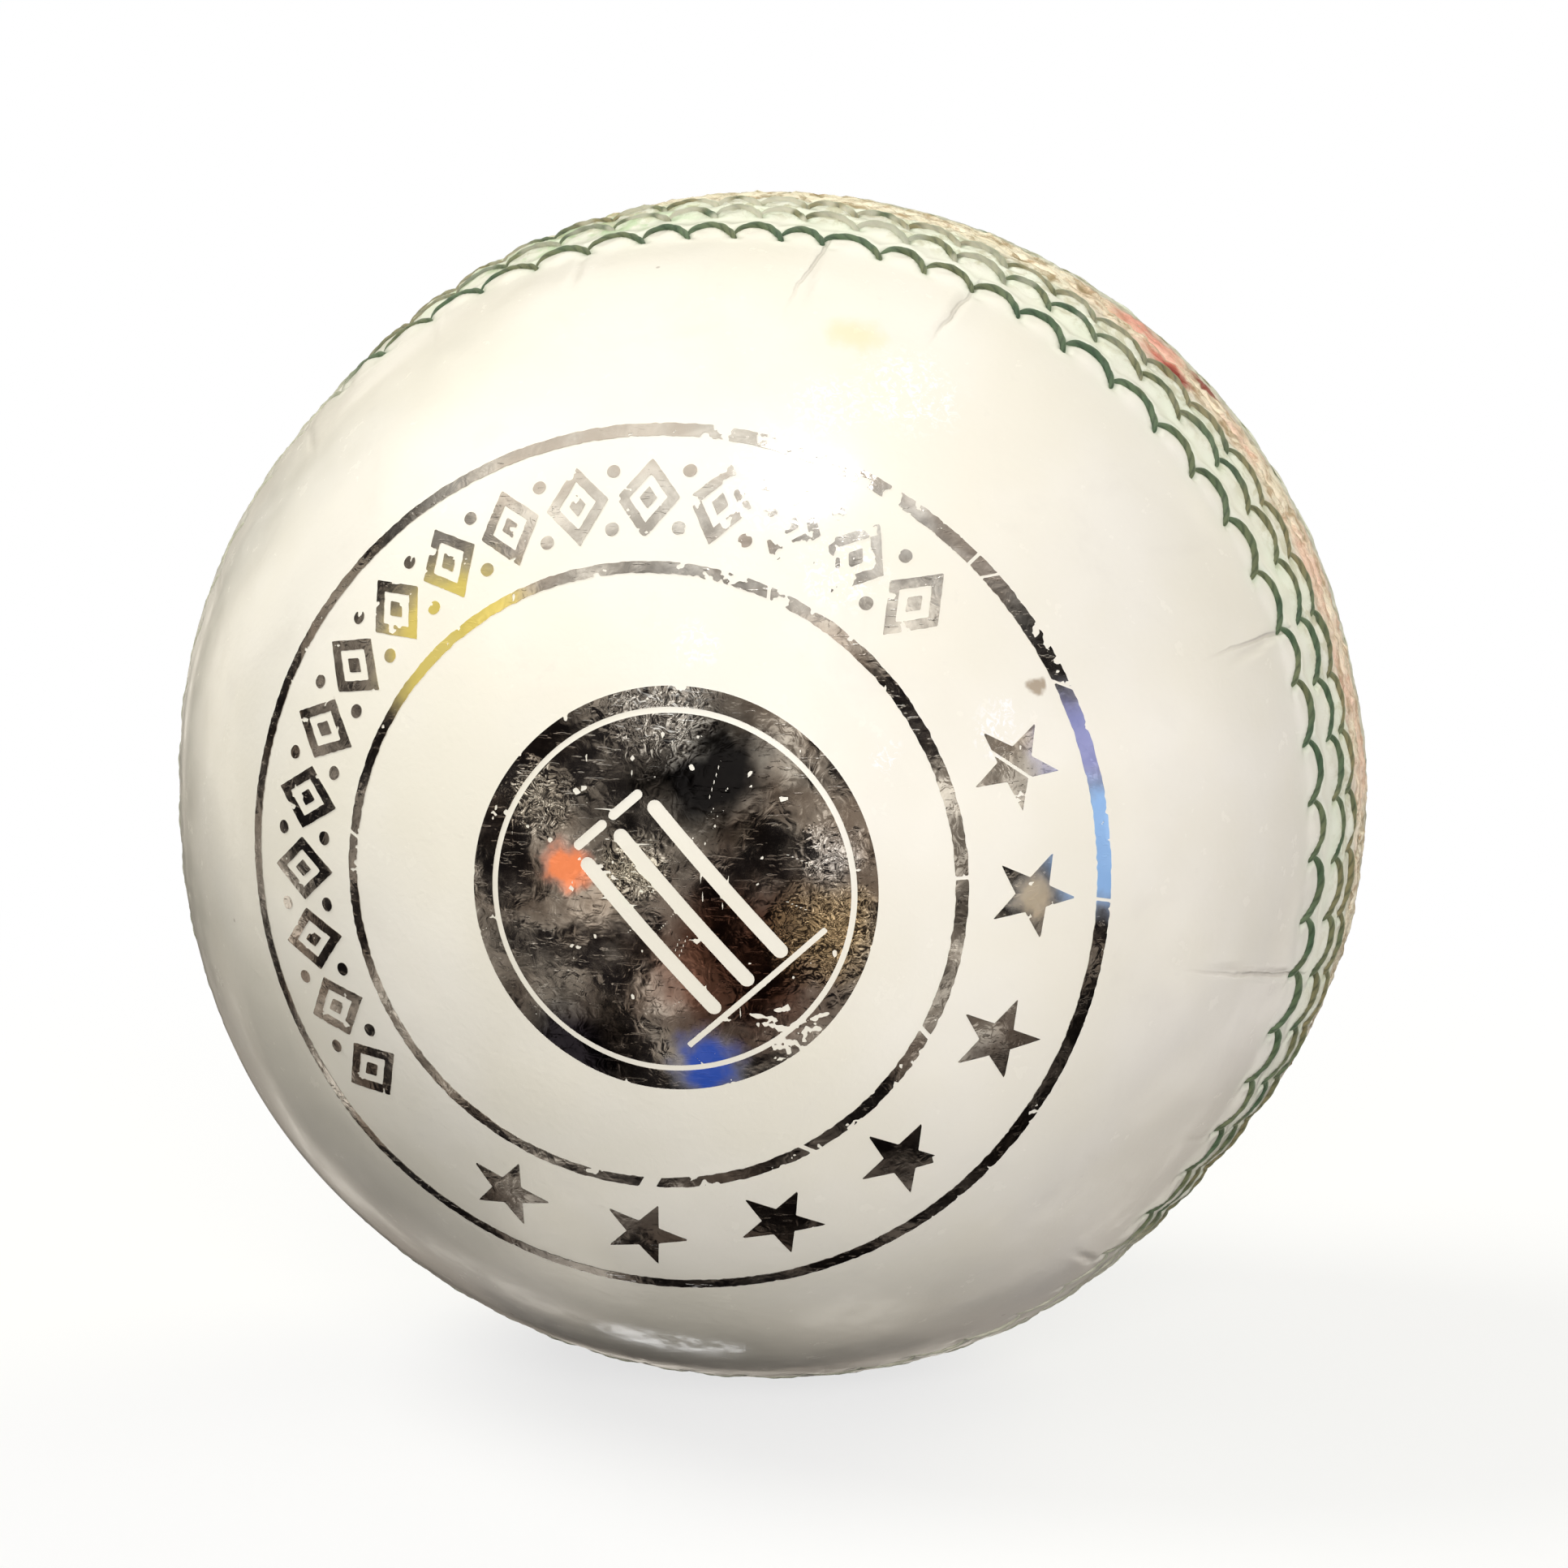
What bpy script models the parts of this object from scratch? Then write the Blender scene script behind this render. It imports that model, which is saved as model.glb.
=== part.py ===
"""A cricket ball with a two-piece leather cover.

Frame: metres, +Z up. The origin is the centre of the ball. The seam stands
upright in the XZ plane, with the front cup's pole along -Y and the back cup's
pole along +Y. The ball rests on the lowest point of its seam.

From the centre outwards:
  core_nucleus           moulded cork-rubber ball
  yarn_winding_inner     wound worsted yarn
  cork_half_a, _b        first cork wrap, two cups
  yarn_winding_middle    wound worsted yarn
  cork_gore_1 .. _4      second cork wrap, four leaves from pole to pole
  yarn_winding_outer     wound worsted yarn, just inside the cover
  seam_lining_front/back leather strips in a rebate behind each lip
  cover_front/back       the two leather cups, which meet at the seam
  seam_stitch_row_1..6   six rows of stitching, row 1 furthest to the front

Dimensions are in millimetres and degrees. A colatitude is measured from the
pole of a cup or layer, so a cup's seam plane lies at 90. A profile is a list
of (r, z) points: the distance from the local Z axis and the height along it.
"""

import math

import bpy

MM = 0.001

# Rotations in degrees that point local +Z to the front (-Y) and the back (+Y).
FRONT = (90, 0, 0)
BACK = (-90, 0, 0)

# --------------------------------------------------------- cover dimensions
LEATHER_RADIUS = 36.0  # outer radius of the smooth leather: 226 mm round
COVER_THICKNESS = 4.0
COVER_INNER_RADIUS = LEATHER_RADIUS - COVER_THICKNESS
COVER_STEPS = 40
COVER_INNER_RINGS = 8

BAND_RISE = 0.14  # how far the lips stand above the smooth leather
BAND_DIP = 0.06  # depth of the shallow furrow under the outermost stitches
SMOOTH_FACE_TO = 60.0  # colatitude where the evenly spaced rings end
SMOOTH_FACE_RINGS = 6
# The rest of the outer face: (colatitude, rise above the smooth leather).
SEAM_BAND = (
    (68.5, 0.0),
    (70.8, -BAND_DIP),
    (74.6, BAND_RISE),
    (81.5, BAND_RISE),
    (88.0, BAND_RISE),
)

LIP_GAP = 0.1  # each lip stops this far from the seam plane
LIP_RADIUS = LEATHER_RADIUS + 0.3 * BAND_RISE  # the lip's rounded-down outer corner

REBATE_DEPTH = 0.9  # room for the lining behind each lip
REBATE_RADIUS = COVER_INNER_RADIUS + REBATE_DEPTH
REBATE_FROM = 67.0  # colatitude where the rebate starts
REBATE_SLOPE = 1.5  # degrees over which it rises from the cup's inner face
REBATE_LAST_RING = 82.0  # colatitude of its last ring before the lip

LINING_THICKNESS = 0.7
LINING_CLEARANCE = 0.1  # between the lining and the rebate
LINING_RADIUS = REBATE_RADIUS - LINING_CLEARANCE
LINING_FROM, LINING_TO = 68.2, 89.2
LINING_RINGS = 2

# -------------------------------------------------------- stitch dimensions
STITCHES_PER_ROW = 64
THREAD_RADIUS = 0.28
THREAD_CLEARANCE = 0.05
THREAD_PATH_RADIUS = LEATHER_RADIUS + BAND_RISE + THREAD_CLEARANCE + THREAD_RADIUS
# Colatitudes of each row of one cup, outermost first: where a stitch starts,
# and the top of its arc, which bows towards the seam plane.
ROW_COLATITUDES = ((71.9, 75.5), (78.3, 81.0), (82.9, 85.5))
# One stitch as (share of the pitch, share of the way from the first colatitude
# to the second): a steep rise, the top of the arc, and a long fall.
STITCH_SHAPE = ((0.0, 0.0), (0.2, 0.78), (0.58, 1.0))

# ---------------------------------------------------------- core dimensions
# Inner and outer radii of the layers. A facet's middle lies nearer the centre
# than its corners, so the layers need wide gaps between their corners.
NUCLEUS_RADIUS = 12.3
YARN_INNER = (13.0, 16.6)
CORK_HALVES = (17.3, 20.2)
YARN_MIDDLE = (20.8, 24.0)
CORK_GORES = (24.6, 27.6)
YARN_OUTER = (28.2, 31.6)

# Steps round a full turn.
NUCLEUS_STEPS, MIDDLE_STEPS, OUTER_STEPS = 16, 20, 24

TAIL_HOLE_RADIUS = 1.6  # where the end of the yarn is tucked under its winding

CORK_HALF_GAP = 0.5
CORK_HALF_TILT = 35  # turns the halves' joint away from the seam plane

GORE_COUNT = 4
GORE_GAP = 1.5  # outside; the leaves' edges lean towards each other underneath
GORE_END = 11.0  # colatitude where the leaves stop short of the poles
GORE_FIRST_TURN = 22.5
GORE_STEPS = 6  # across one leaf
GORE_RINGS = 11  # along one leaf

# ---------------------------------------------------------------- materials
# name: (base colour, roughness)
MATERIALS = {
    "white_leather": ((0.80, 0.76, 0.66), 0.28),
    "green_thread": ((0.035, 0.13, 0.055), 0.62),
    "lining_leather": ((0.56, 0.44, 0.30), 0.75),
    "worsted_yarn": ((0.62, 0.53, 0.38), 0.92),
    "cork": ((0.42, 0.25, 0.13), 0.88),
    "cork_rubber": ((0.13, 0.07, 0.045), 0.80),
}


def make_material(name, colour, roughness):
    material = bpy.data.materials.new(name)
    material.use_nodes = True
    inputs = material.node_tree.nodes["Principled BSDF"].inputs
    inputs["Base Color"].default_value = (*colour, 1.0)
    inputs["Roughness"].default_value = roughness
    return material


# -------------------------------------------------------------------- scene
for old_object in list(bpy.data.objects):
    bpy.data.objects.remove(old_object, do_unlink=True)

ball = bpy.data.collections.new("cricket_ball")
bpy.context.scene.collection.children.link(ball)
centre = bpy.data.objects.new("ball_centre", None)
ball.objects.link(centre)
materials = {name: make_material(name, *look) for name, look in MATERIALS.items()}


def place(obj, material, rotation=(0, 0, 0)):
    """Give an object its material and rotation, and make it part of the ball."""
    obj.data.materials.append(materials[material])
    obj.rotation_euler = [math.radians(angle) for angle in rotation]
    ball.objects.link(obj)
    obj.parent = centre


# ----------------------------------------------------------- profile helpers
def at_colatitude(radius, colatitude):
    """The point (r, z) of a circle at a colatitude."""
    angle = math.radians(colatitude)
    return radius * math.sin(angle), radius * math.cos(angle)


def at_height(radius, height):
    """The point (r, z) of a circle at a height above its equator."""
    return math.sqrt(radius**2 - height**2), height


def arc(radius, start, end, count):
    """Points of a circle from one colatitude to another, in count equal parts."""
    return [
        at_colatitude(radius, start + (end - start) * i / count) for i in range(count + 1)
    ]


def turned(name, profile, steps, material, rotation, angle=360.0):
    """A profile turned about local Z. It runs down its outer side."""
    verts = [(r * MM, 0.0, z * MM) for r, z in profile]
    edges = [(i, i + 1) for i in range(len(verts) - 1)]
    mesh = bpy.data.meshes.new(name)
    mesh.from_pydata(verts, edges, [])
    obj = bpy.data.objects.new(name, mesh)
    place(obj, material, rotation)

    screw = obj.modifiers.new("Turn", "SCREW")
    screw.axis = "Z"
    screw.angle = math.radians(angle)
    screw.steps = screw.render_steps = steps
    screw.use_merge_vertices = True
    screw.merge_threshold = 1e-6
    screw.use_smooth_shade = True
    return obj


# --------------------------------------------------------------------- core
def add_nucleus():
    bpy.ops.mesh.primitive_uv_sphere_add(
        segments=NUCLEUS_STEPS, ring_count=NUCLEUS_STEPS // 2, radius=NUCLEUS_RADIUS * MM
    )
    nucleus = bpy.context.object
    nucleus.name = nucleus.data.name = "core_nucleus"
    nucleus.data.shade_smooth()
    for collection in list(nucleus.users_collection):
        collection.objects.unlink(nucleus)
    place(nucleus, "cork_rubber", FRONT)


def add_winding(name, radii, steps, rotation):
    """A wound layer: a full shell with the tail's hole at its local +Z pole."""
    inner, outer = radii
    rings = steps // 2
    step = 180.0 / rings
    hole_inside, hole_outside = (
        at_colatitude(radius, math.degrees(math.asin(TAIL_HOLE_RADIUS / radius)))
        for radius in radii
    )
    profile = [
        (0.0, -inner),
        *arc(inner, 180.0 - step, step, rings - 2),
        hole_inside,
        hole_outside,
        *arc(outer, step, 180.0 - step, rings - 2),
        (0.0, -outer),
    ]
    turned(name, profile, steps, "worsted_yarn", rotation)


def add_cork_half(name, tilt):
    """A hemispherical shell, which stops half the joint's gap from its plane."""
    inner, outer = CORK_HALVES
    rings = MIDDLE_STEPS // 4
    step = 90.0 / rings
    profile = [
        (0.0, outer),
        *arc(outer, step, 90.0 - step, rings - 2),
        at_height(outer, CORK_HALF_GAP / 2),
        at_height(inner, CORK_HALF_GAP / 2),
        *arc(inner, 90.0 - step, step, rings - 2),
        (0.0, inner),
    ]
    turned(name, profile, MIDDLE_STEPS, "cork", (0, tilt, 0))


def add_cork_gore(index):
    """One leaf: an outer face turned through its share, thickened inwards."""
    inner, outer = CORK_GORES
    share = 360.0 / GORE_COUNT
    gore = turned(
        f"cork_gore_{index + 1}",
        arc(outer, GORE_END, 180.0 - GORE_END, GORE_RINGS),
        GORE_STEPS,
        "cork",
        rotation=(90, share * index + GORE_FIRST_TURN, 0),
        angle=share - math.degrees(GORE_GAP / outer),
    )
    shell = gore.modifiers.new("Thickness", "SOLIDIFY")
    shell.thickness = (outer - inner) * MM
    shell.offset = -1.0
    shell.use_even_offset = True


# ----------------------------------------------------------- cover and seam
def add_lining(side, rotation):
    """A closed band: down its outer side and back up its inner side."""
    profile = arc(LINING_RADIUS, LINING_FROM, LINING_TO, LINING_RINGS)
    profile += arc(LINING_RADIUS - LINING_THICKNESS, LINING_TO, LINING_FROM, LINING_RINGS)
    profile.append(profile[0])
    turned(f"seam_lining_{side}", profile, COVER_STEPS, "lining_leather", rotation)


def add_cover(side, rotation):
    """A cup: outer face from pole to lip, the lip's flat edge, and back up inside."""
    profile = [
        *arc(LEATHER_RADIUS, 0.0, SMOOTH_FACE_TO, SMOOTH_FACE_RINGS),
        *(at_colatitude(LEATHER_RADIUS + rise, colatitude) for colatitude, rise in SEAM_BAND),
        at_height(LIP_RADIUS, LIP_GAP),
        at_height(REBATE_RADIUS, LIP_GAP),
        *arc(REBATE_RADIUS, REBATE_LAST_RING, REBATE_FROM, 2),
        *arc(COVER_INNER_RADIUS, REBATE_FROM - REBATE_SLOPE, 0.0, COVER_INNER_RINGS),
    ]
    turned(f"cover_{side}", profile, COVER_STEPS, "white_leather", rotation)


def stitch_points(start, top, y_sign):
    """Centre line of a scalloped thread, in metres, starting above the Y axis."""
    points = []
    for stitch in range(STITCHES_PER_ROW):
        for pitch_share, bow in STITCH_SHAPE:
            r, height = at_colatitude(THREAD_PATH_RADIUS * MM, start + (top - start) * bow)
            turn = 2 * math.pi * (stitch + pitch_share) / STITCHES_PER_ROW
            points.append((r * math.sin(turn), y_sign * height, r * math.cos(turn)))
    return points


def add_stitch_row(number, colatitudes, y_sign):
    """A closed thread lying on the front (y_sign -1) or back (+1) cup's lip."""
    name = f"seam_stitch_row_{number}"
    curve = bpy.data.curves.new(name, "CURVE")
    curve.dimensions = "3D"
    curve.bevel_depth = THREAD_RADIUS * MM
    curve.bevel_resolution = 0
    curve.resolution_u = 1

    points = stitch_points(*colatitudes, y_sign)
    spline = curve.splines.new("POLY")
    spline.points.add(len(points) - 1)
    for spline_point, position in zip(spline.points, points):
        spline_point.co = (*position, 1.0)
    spline.use_cyclic_u = True
    spline.use_smooth = True
    place(bpy.data.objects.new(name, curve), "green_thread")


# ----------------------------------------------------------------- the ball
add_nucleus()
add_winding("yarn_winding_inner", YARN_INNER, NUCLEUS_STEPS, FRONT)
add_cork_half("cork_half_a", CORK_HALF_TILT)
add_cork_half("cork_half_b", CORK_HALF_TILT + 180)
add_winding("yarn_winding_middle", YARN_MIDDLE, MIDDLE_STEPS, BACK)
for gore_index in range(GORE_COUNT):
    add_cork_gore(gore_index)
add_winding("yarn_winding_outer", YARN_OUTER, OUTER_STEPS, FRONT)

for side, rotation in (("front", FRONT), ("back", BACK)):
    add_lining(side, rotation)
    add_cover(side, rotation)

# Rows 1 to 3 lie on the front lip, outermost first, and rows 6 to 4 mirror them.
for row, colatitudes in enumerate(ROW_COLATITUDES):
    add_stitch_row(row + 1, colatitudes, y_sign=-1)
    add_stitch_row(2 * len(ROW_COLATITUDES) - row, colatitudes, y_sign=1)
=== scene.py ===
"""The looks of a two-piece white cricket ball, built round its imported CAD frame.

The front cup's pole (the stamped face) points along -Y and the seam stands in
the XZ plane. Work is done in millimetres and degrees on the ball's own polar
grid, and turned into metres when a mesh is made:

  theta  colatitude, the angle from a cup's pole; the seam plane is at 90
  phi    longitude, clockwise from +Z towards +X, as seen from the front
"""

import functools
import math

import bpy
import numpy as np
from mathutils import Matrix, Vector, kdtree


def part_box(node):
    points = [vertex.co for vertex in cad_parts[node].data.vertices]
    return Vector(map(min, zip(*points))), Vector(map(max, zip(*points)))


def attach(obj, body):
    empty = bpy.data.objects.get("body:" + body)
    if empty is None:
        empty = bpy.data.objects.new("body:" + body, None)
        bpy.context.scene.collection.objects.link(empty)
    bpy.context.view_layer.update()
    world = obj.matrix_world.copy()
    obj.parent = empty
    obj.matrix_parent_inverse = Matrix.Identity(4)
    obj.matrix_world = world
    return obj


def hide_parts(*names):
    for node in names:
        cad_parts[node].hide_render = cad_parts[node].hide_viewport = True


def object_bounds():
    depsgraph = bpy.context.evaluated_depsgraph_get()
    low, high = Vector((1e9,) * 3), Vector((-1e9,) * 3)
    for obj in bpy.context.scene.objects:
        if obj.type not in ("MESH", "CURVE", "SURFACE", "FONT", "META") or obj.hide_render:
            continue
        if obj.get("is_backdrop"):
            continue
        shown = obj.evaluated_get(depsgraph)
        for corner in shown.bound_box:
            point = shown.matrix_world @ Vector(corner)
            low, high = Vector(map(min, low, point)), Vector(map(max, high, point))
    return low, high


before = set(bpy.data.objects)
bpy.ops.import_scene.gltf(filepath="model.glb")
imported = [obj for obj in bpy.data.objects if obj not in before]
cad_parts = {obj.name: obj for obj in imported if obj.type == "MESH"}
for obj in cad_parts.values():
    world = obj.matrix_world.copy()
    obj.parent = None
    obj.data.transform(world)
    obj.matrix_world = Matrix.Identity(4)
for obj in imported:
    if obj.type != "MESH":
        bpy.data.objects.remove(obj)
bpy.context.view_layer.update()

MM = 0.001
FRONT, BACK = -1, 1  # the side of the seam plane, along Y
RADIUS = -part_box("cover_front")[0].y / MM  # of the smooth leather
INNER_RADIUS = RADIUS - 4.0
SEAM_INNER_RADIUS = INNER_RADIUS + 0.9  # the leather is thinner near the seam

# ------------------------------------------------------------------- helpers


def smooth(low, high, x):
    t = np.clip((x - low) / (high - low), 0.0, 1.0)
    return t * t * (3 - 2 * t)


def bell(x, width):
    """1 at x = 0, falling away evenly on both sides."""
    return np.exp(-((x / width) ** 2))


def angle_from(phi, at):
    """The turn from one longitude to another, between -180 and 180."""
    return (np.asarray(phi) - at + 180) % 360 - 180


def bells_round(phi, table):
    """The sum of bells round the ball, from rows of (longitude, half width, height)."""
    return sum(height * bell(angle_from(phi, at), width) for at, width, height in table)


def value_noise(points, seed):
    """Value noise from 0 to 1 at points (..., 3), the same on every run."""
    cell = np.floor(points).astype(np.int64)
    part = points - cell
    part = part * part * (3 - 2 * part)
    out = np.zeros(points.shape[:-1])
    for corner in np.ndindex(2, 2, 2):
        x, y, z = (cell[..., axis] + corner[axis] for axis in range(3))
        mixed = (x * 374761393 + y * 668265263 + z * 1274126177 + seed * 362437) & 0xFFFFFFFF
        mixed = ((mixed ^ (mixed >> 13)) * 1103515245) & 0xFFFFFFFF
        mixed = ((mixed ^ (mixed >> 16)) * 2246822519) & 0xFFFFFFFF
        mixed = (mixed ^ (mixed >> 15)) & 0xFFFFFF
        weight = 1.0
        for axis in range(3):
            weight = weight * (part[..., axis] if corner[axis] else 1 - part[..., axis])
        out += weight * (mixed / 0xFFFFFF)
    return out


def layered_noise(points, octaves, seed):
    """Value noise in octaves, each half the size and half the strength of the last."""
    out, weight, total = 0.0, 1.0, 0.0
    for k in range(octaves):
        out = out + weight * value_noise(points * 2**k, seed + 17 * k)
        total += weight
        weight *= 0.5
    return out / total


def direction(theta, phi, cup):
    """Unit vectors at colatitude theta and longitude phi."""
    t, p = np.radians(theta), np.radians(phi)
    level = np.sin(t)
    parts = np.broadcast_arrays(level * np.sin(p), cup * np.cos(t), level * np.cos(p))
    return np.stack(parts, -1)


def signed_volume(verts, faces):
    tri = np.array([(f[0], f[k], f[k + 1]) for f in faces for k in range(1, len(f) - 1)])
    a, b, c = verts[tri[:, 0]], verts[tri[:, 1]], verts[tri[:, 2]]
    return np.einsum("ij,ij->", a, np.cross(b, c)) / 6


def mesh_object(name, verts, faces, sharp=None):
    """A smooth-shaded mesh from points in millimetres, with its faces turned to point out.

    sharp is the angle in degrees above which an edge stays crisp.
    """
    if signed_volume(verts, faces) < 0:
        faces = [face[::-1] for face in faces]
    mesh = bpy.data.meshes.new(name)
    mesh.from_pydata((verts * MM).tolist(), [], faces)
    mesh.update()
    mesh.shade_smooth()
    if sharp:
        mesh.set_sharp_from_angle(angle=math.radians(sharp))
    obj = bpy.data.objects.new(name, mesh)
    bpy.context.scene.collection.objects.link(obj)
    return obj


def lathe(name, rings, poles=None, sharp=None):
    """A closed body from rings (ring, point, 3), capped by two poles or joined end to end."""
    count, size = rings.shape[:2]
    verts = rings.reshape(-1, 3)
    here = np.arange(size)
    after = (here + 1) % size
    faces = []
    for i in range(count if poles is None else count - 1):
        a, b = i * size, ((i + 1) % count) * size
        faces += np.stack([a + here, a + after, b + after, b + here], 1).tolist()
    if poles is not None:
        first, last = len(verts), (count - 1) * size
        verts = np.vstack([verts, *poles])
        faces += np.stack([after, here, np.full(size, first)], 1).tolist()
        faces += np.stack([last + here, last + after, np.full(size, first + 1)], 1).tolist()
    return mesh_object(name, verts, faces, sharp)


def closed_spline(points, per):
    """A Catmull-Rom spline through a closed list of points, sampled per times in each span."""
    p0, p1 = np.roll(points, 1, 0)[:, None], points[:, None]
    p2, p3 = np.roll(points, -1, 0)[:, None], np.roll(points, -2, 0)[:, None]
    t = (np.arange(per) / per)[None, :, None]
    out = 0.5 * (
        2 * p1
        + (p2 - p0) * t
        + (2 * p0 - 5 * p1 + 4 * p2 - p3) * t**2
        + (3 * p1 - p0 - 3 * p2 + p3) * t**3
    )
    return out.reshape(-1, points.shape[1])


def attribute(obj, name, values):
    layer = obj.data.attributes.new(name, "FLOAT", "POINT")
    layer.data.foreach_set("value", np.asarray(values, np.float32))


# ------------------------------------------------- the height of the leather

# How the used ball is out of round: (longitude, half width, height in mm), for
# the seam alone and for the leather from half way out to the seam
SEAM_LUMPS = ((92.0, 22.0, 0.08), (76.0, 8.0, -0.17), (130.0, 14.0, -0.45), (318.0, 15.0, -0.46))
BODY_LUMPS = ((130.0, 16.0, -0.47), (176.0, 24.0, -0.21), (238.0, 17.0, 0.27), (270.0, 7.0, -0.16))
SEAM_LIFT = 0.04
# Shallow rings in the leather: (colatitude, half width, height in mm)
RIDGES = ((70.0, 2.5, -0.03), (77.2, 0.9, 0.05), (82.0, 0.7, 0.05))


def leather_base(theta, phi=0.0):
    """Height of the leather over RADIUS, before the stitches press into it."""
    height = (SEAM_LIFT + bells_round(phi, SEAM_LUMPS)) * smooth(72.0, 79.5, theta)
    height = height + bells_round(phi, BODY_LUMPS) * smooth(48.0, 68.0, theta)
    for at, width, lift in RIDGES:
        height = height + lift * bell(theta - at, width)
    return height


def dents(ways):
    """Slow unevenness of the hand-finished leather, in mm, from unit vectors."""
    broad = 0.16 * (layered_noise(ways * 3.1 + 20, 2, 3) - 0.5)
    return broad + 0.035 * (layered_noise(ways * 11.0 + 5, 2, 9) - 0.5)


# ---------------------------------------------------------- the stitched seam

STITCHES = 64
# Colatitudes where a stitch enters the leather and of the top of its arc, by row
ROWS = {
    FRONT: ((72.3, 74.9), (77.6, 80.2), (81.8, 84.0)),
    BACK: ((71.8, 74.4), (76.2, 78.8), (79.3, 81.4)),
}
# The stitches crowd together over the top of the ball: (stitch number, longitude)
CROWDING = np.array(((0, 351.1), (4, 369.4), (9, 394.8), (14, 423.8), (21, 464.1), (64, 711.1)))

# One stitch: (share of the pitch, share of the way from the entry to the top
# of the arc, height above the leather in mm, thread radius in mm). It rises
# from under the tail of the stitch before it, bows towards the seam plane,
# swells, and dives in a short tail that points at the pole.
STITCH = (
    (-0.05, 0.42, -0.50, 0.14),
    (-0.02, 0.60, -0.20, 0.19),
    (0.10, 0.88, -0.05, 0.24),
    (0.33, 1.03, 0.00, 0.27),
    (0.56, 0.95, 0.00, 0.27),
    (0.76, 0.66, -0.02, 0.24),
    (0.90, 0.34, -0.03, 0.20),
    (0.985, 0.08, -0.14, 0.15),
    (1.01, -0.03, -0.45, 0.12),
    (1.00, 0.25, -0.85, 0.12),
)
SPLINE_STEPS = 4  # between two points of a stitch
ROW_GAUGE = (1.16, 1.22, 1.30)  # thread thickness of each row, against STITCH
PRESSED_SINK = 0.20  # mm a front stitch sinks where the seam is pressed flat
BACK_SINK = (0.20, 0.22, 0.28)  # mm each back row sinks
# Standard deviations of a stitch's start, reach, drop and thickness
START_SPREAD, REACH_SPREAD, DROP_SPREAD, GAUGE_SPREAD = 0.045, 0.05, 0.05, 0.05

THREAD_SIDES = 12
PLIES = 3
PLY_SPACING = 1.05  # mm of thread in which the twist passes through a full turn of phase


def longitude_of(stitch):
    turns = np.floor(np.asarray(stitch, float) / STITCHES)
    return np.interp(stitch - STITCHES * turns, *CROWDING.T) + 360 * turns


def stitch_at(phi):
    first = CROWDING[0, 1]
    return np.interp((phi - first) % 360 + first, CROWDING[:, 1], CROWDING[:, 0])


def row_shift(row, cup, phi):
    """How far a row's stitches are shifted along the seam, in stitches."""
    away = np.abs(angle_from(phi, -60.0))
    shift = (0.0, 0.07 + 0.24 * (1 - smooth(85, 125, away)), 0.12)[row]
    return shift + (0 if cup == FRONT else 0.4)


def pressed(phi, cup):
    """1 along the stretch of the front cup's seam where the stitches are pressed flush."""
    return (1 - smooth(84.0, 94.0, np.abs(angle_from(phi, 227.0)))) * (cup == FRONT)


def row_path(row, cup):
    """The centre line and radii of a row of stitches, as one closed thread."""
    rng = np.random.default_rng(100 + 10 * row + cup)
    near, far = ROWS[cup][row]
    lean = rng.normal(0, START_SPREAD, STITCHES + 1)  # where each stitch starts, in pitches
    lean[-1] = lean[0]
    reach = rng.normal(0, REACH_SPREAD, STITCHES)
    drop = rng.normal(0, DROP_SPREAD, STITCHES)
    gauge = (1 + rng.normal(0, GAUGE_SPREAD, STITCHES)) * ROW_GAUGE[row]
    points = []
    for k in range(STITCHES):
        shift = row_shift(row, cup, longitude_of(k + 0.5))
        start, end = k + lean[k] + shift, k + 1 + lean[k + 1] + shift
        for along, rise, lift, thickness in STITCH:
            phi = float(longitude_of(start + (end - start) * along))
            theta = near + (far - near) * (rise * (1 + reach[k]) + drop[k] * (1 - rise))
            sink = PRESSED_SINK * pressed(phi, cup) if cup == FRONT else BACK_SINK[row]
            radius = RADIUS + leather_base(theta, phi) + lift - sink
            points.append((*(direction(theta, phi, cup) * radius), thickness * gauge[k]))
    line = closed_spline(np.array(points), SPLINE_STEPS)
    return line[:, :3], line[:, 3]


def carried_sides(line, tangent):
    """A side vector at each point carried along a closed line, and the twist at its end."""

    def across(vector, way):
        vector = vector - (vector @ way) * way
        return vector / np.linalg.norm(vector)

    side = np.zeros_like(line)
    start = np.cross(tangent[0], line[0])
    side[0] = start / np.linalg.norm(start)
    for i in range(1, len(line)):
        side[i] = across(side[i - 1], tangent[i])
    end = across(side[-1], tangent[0])
    twist = math.atan2(float(np.cross(end, side[0]) @ tangent[0]), float(end @ side[0]))
    return side, twist


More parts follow.
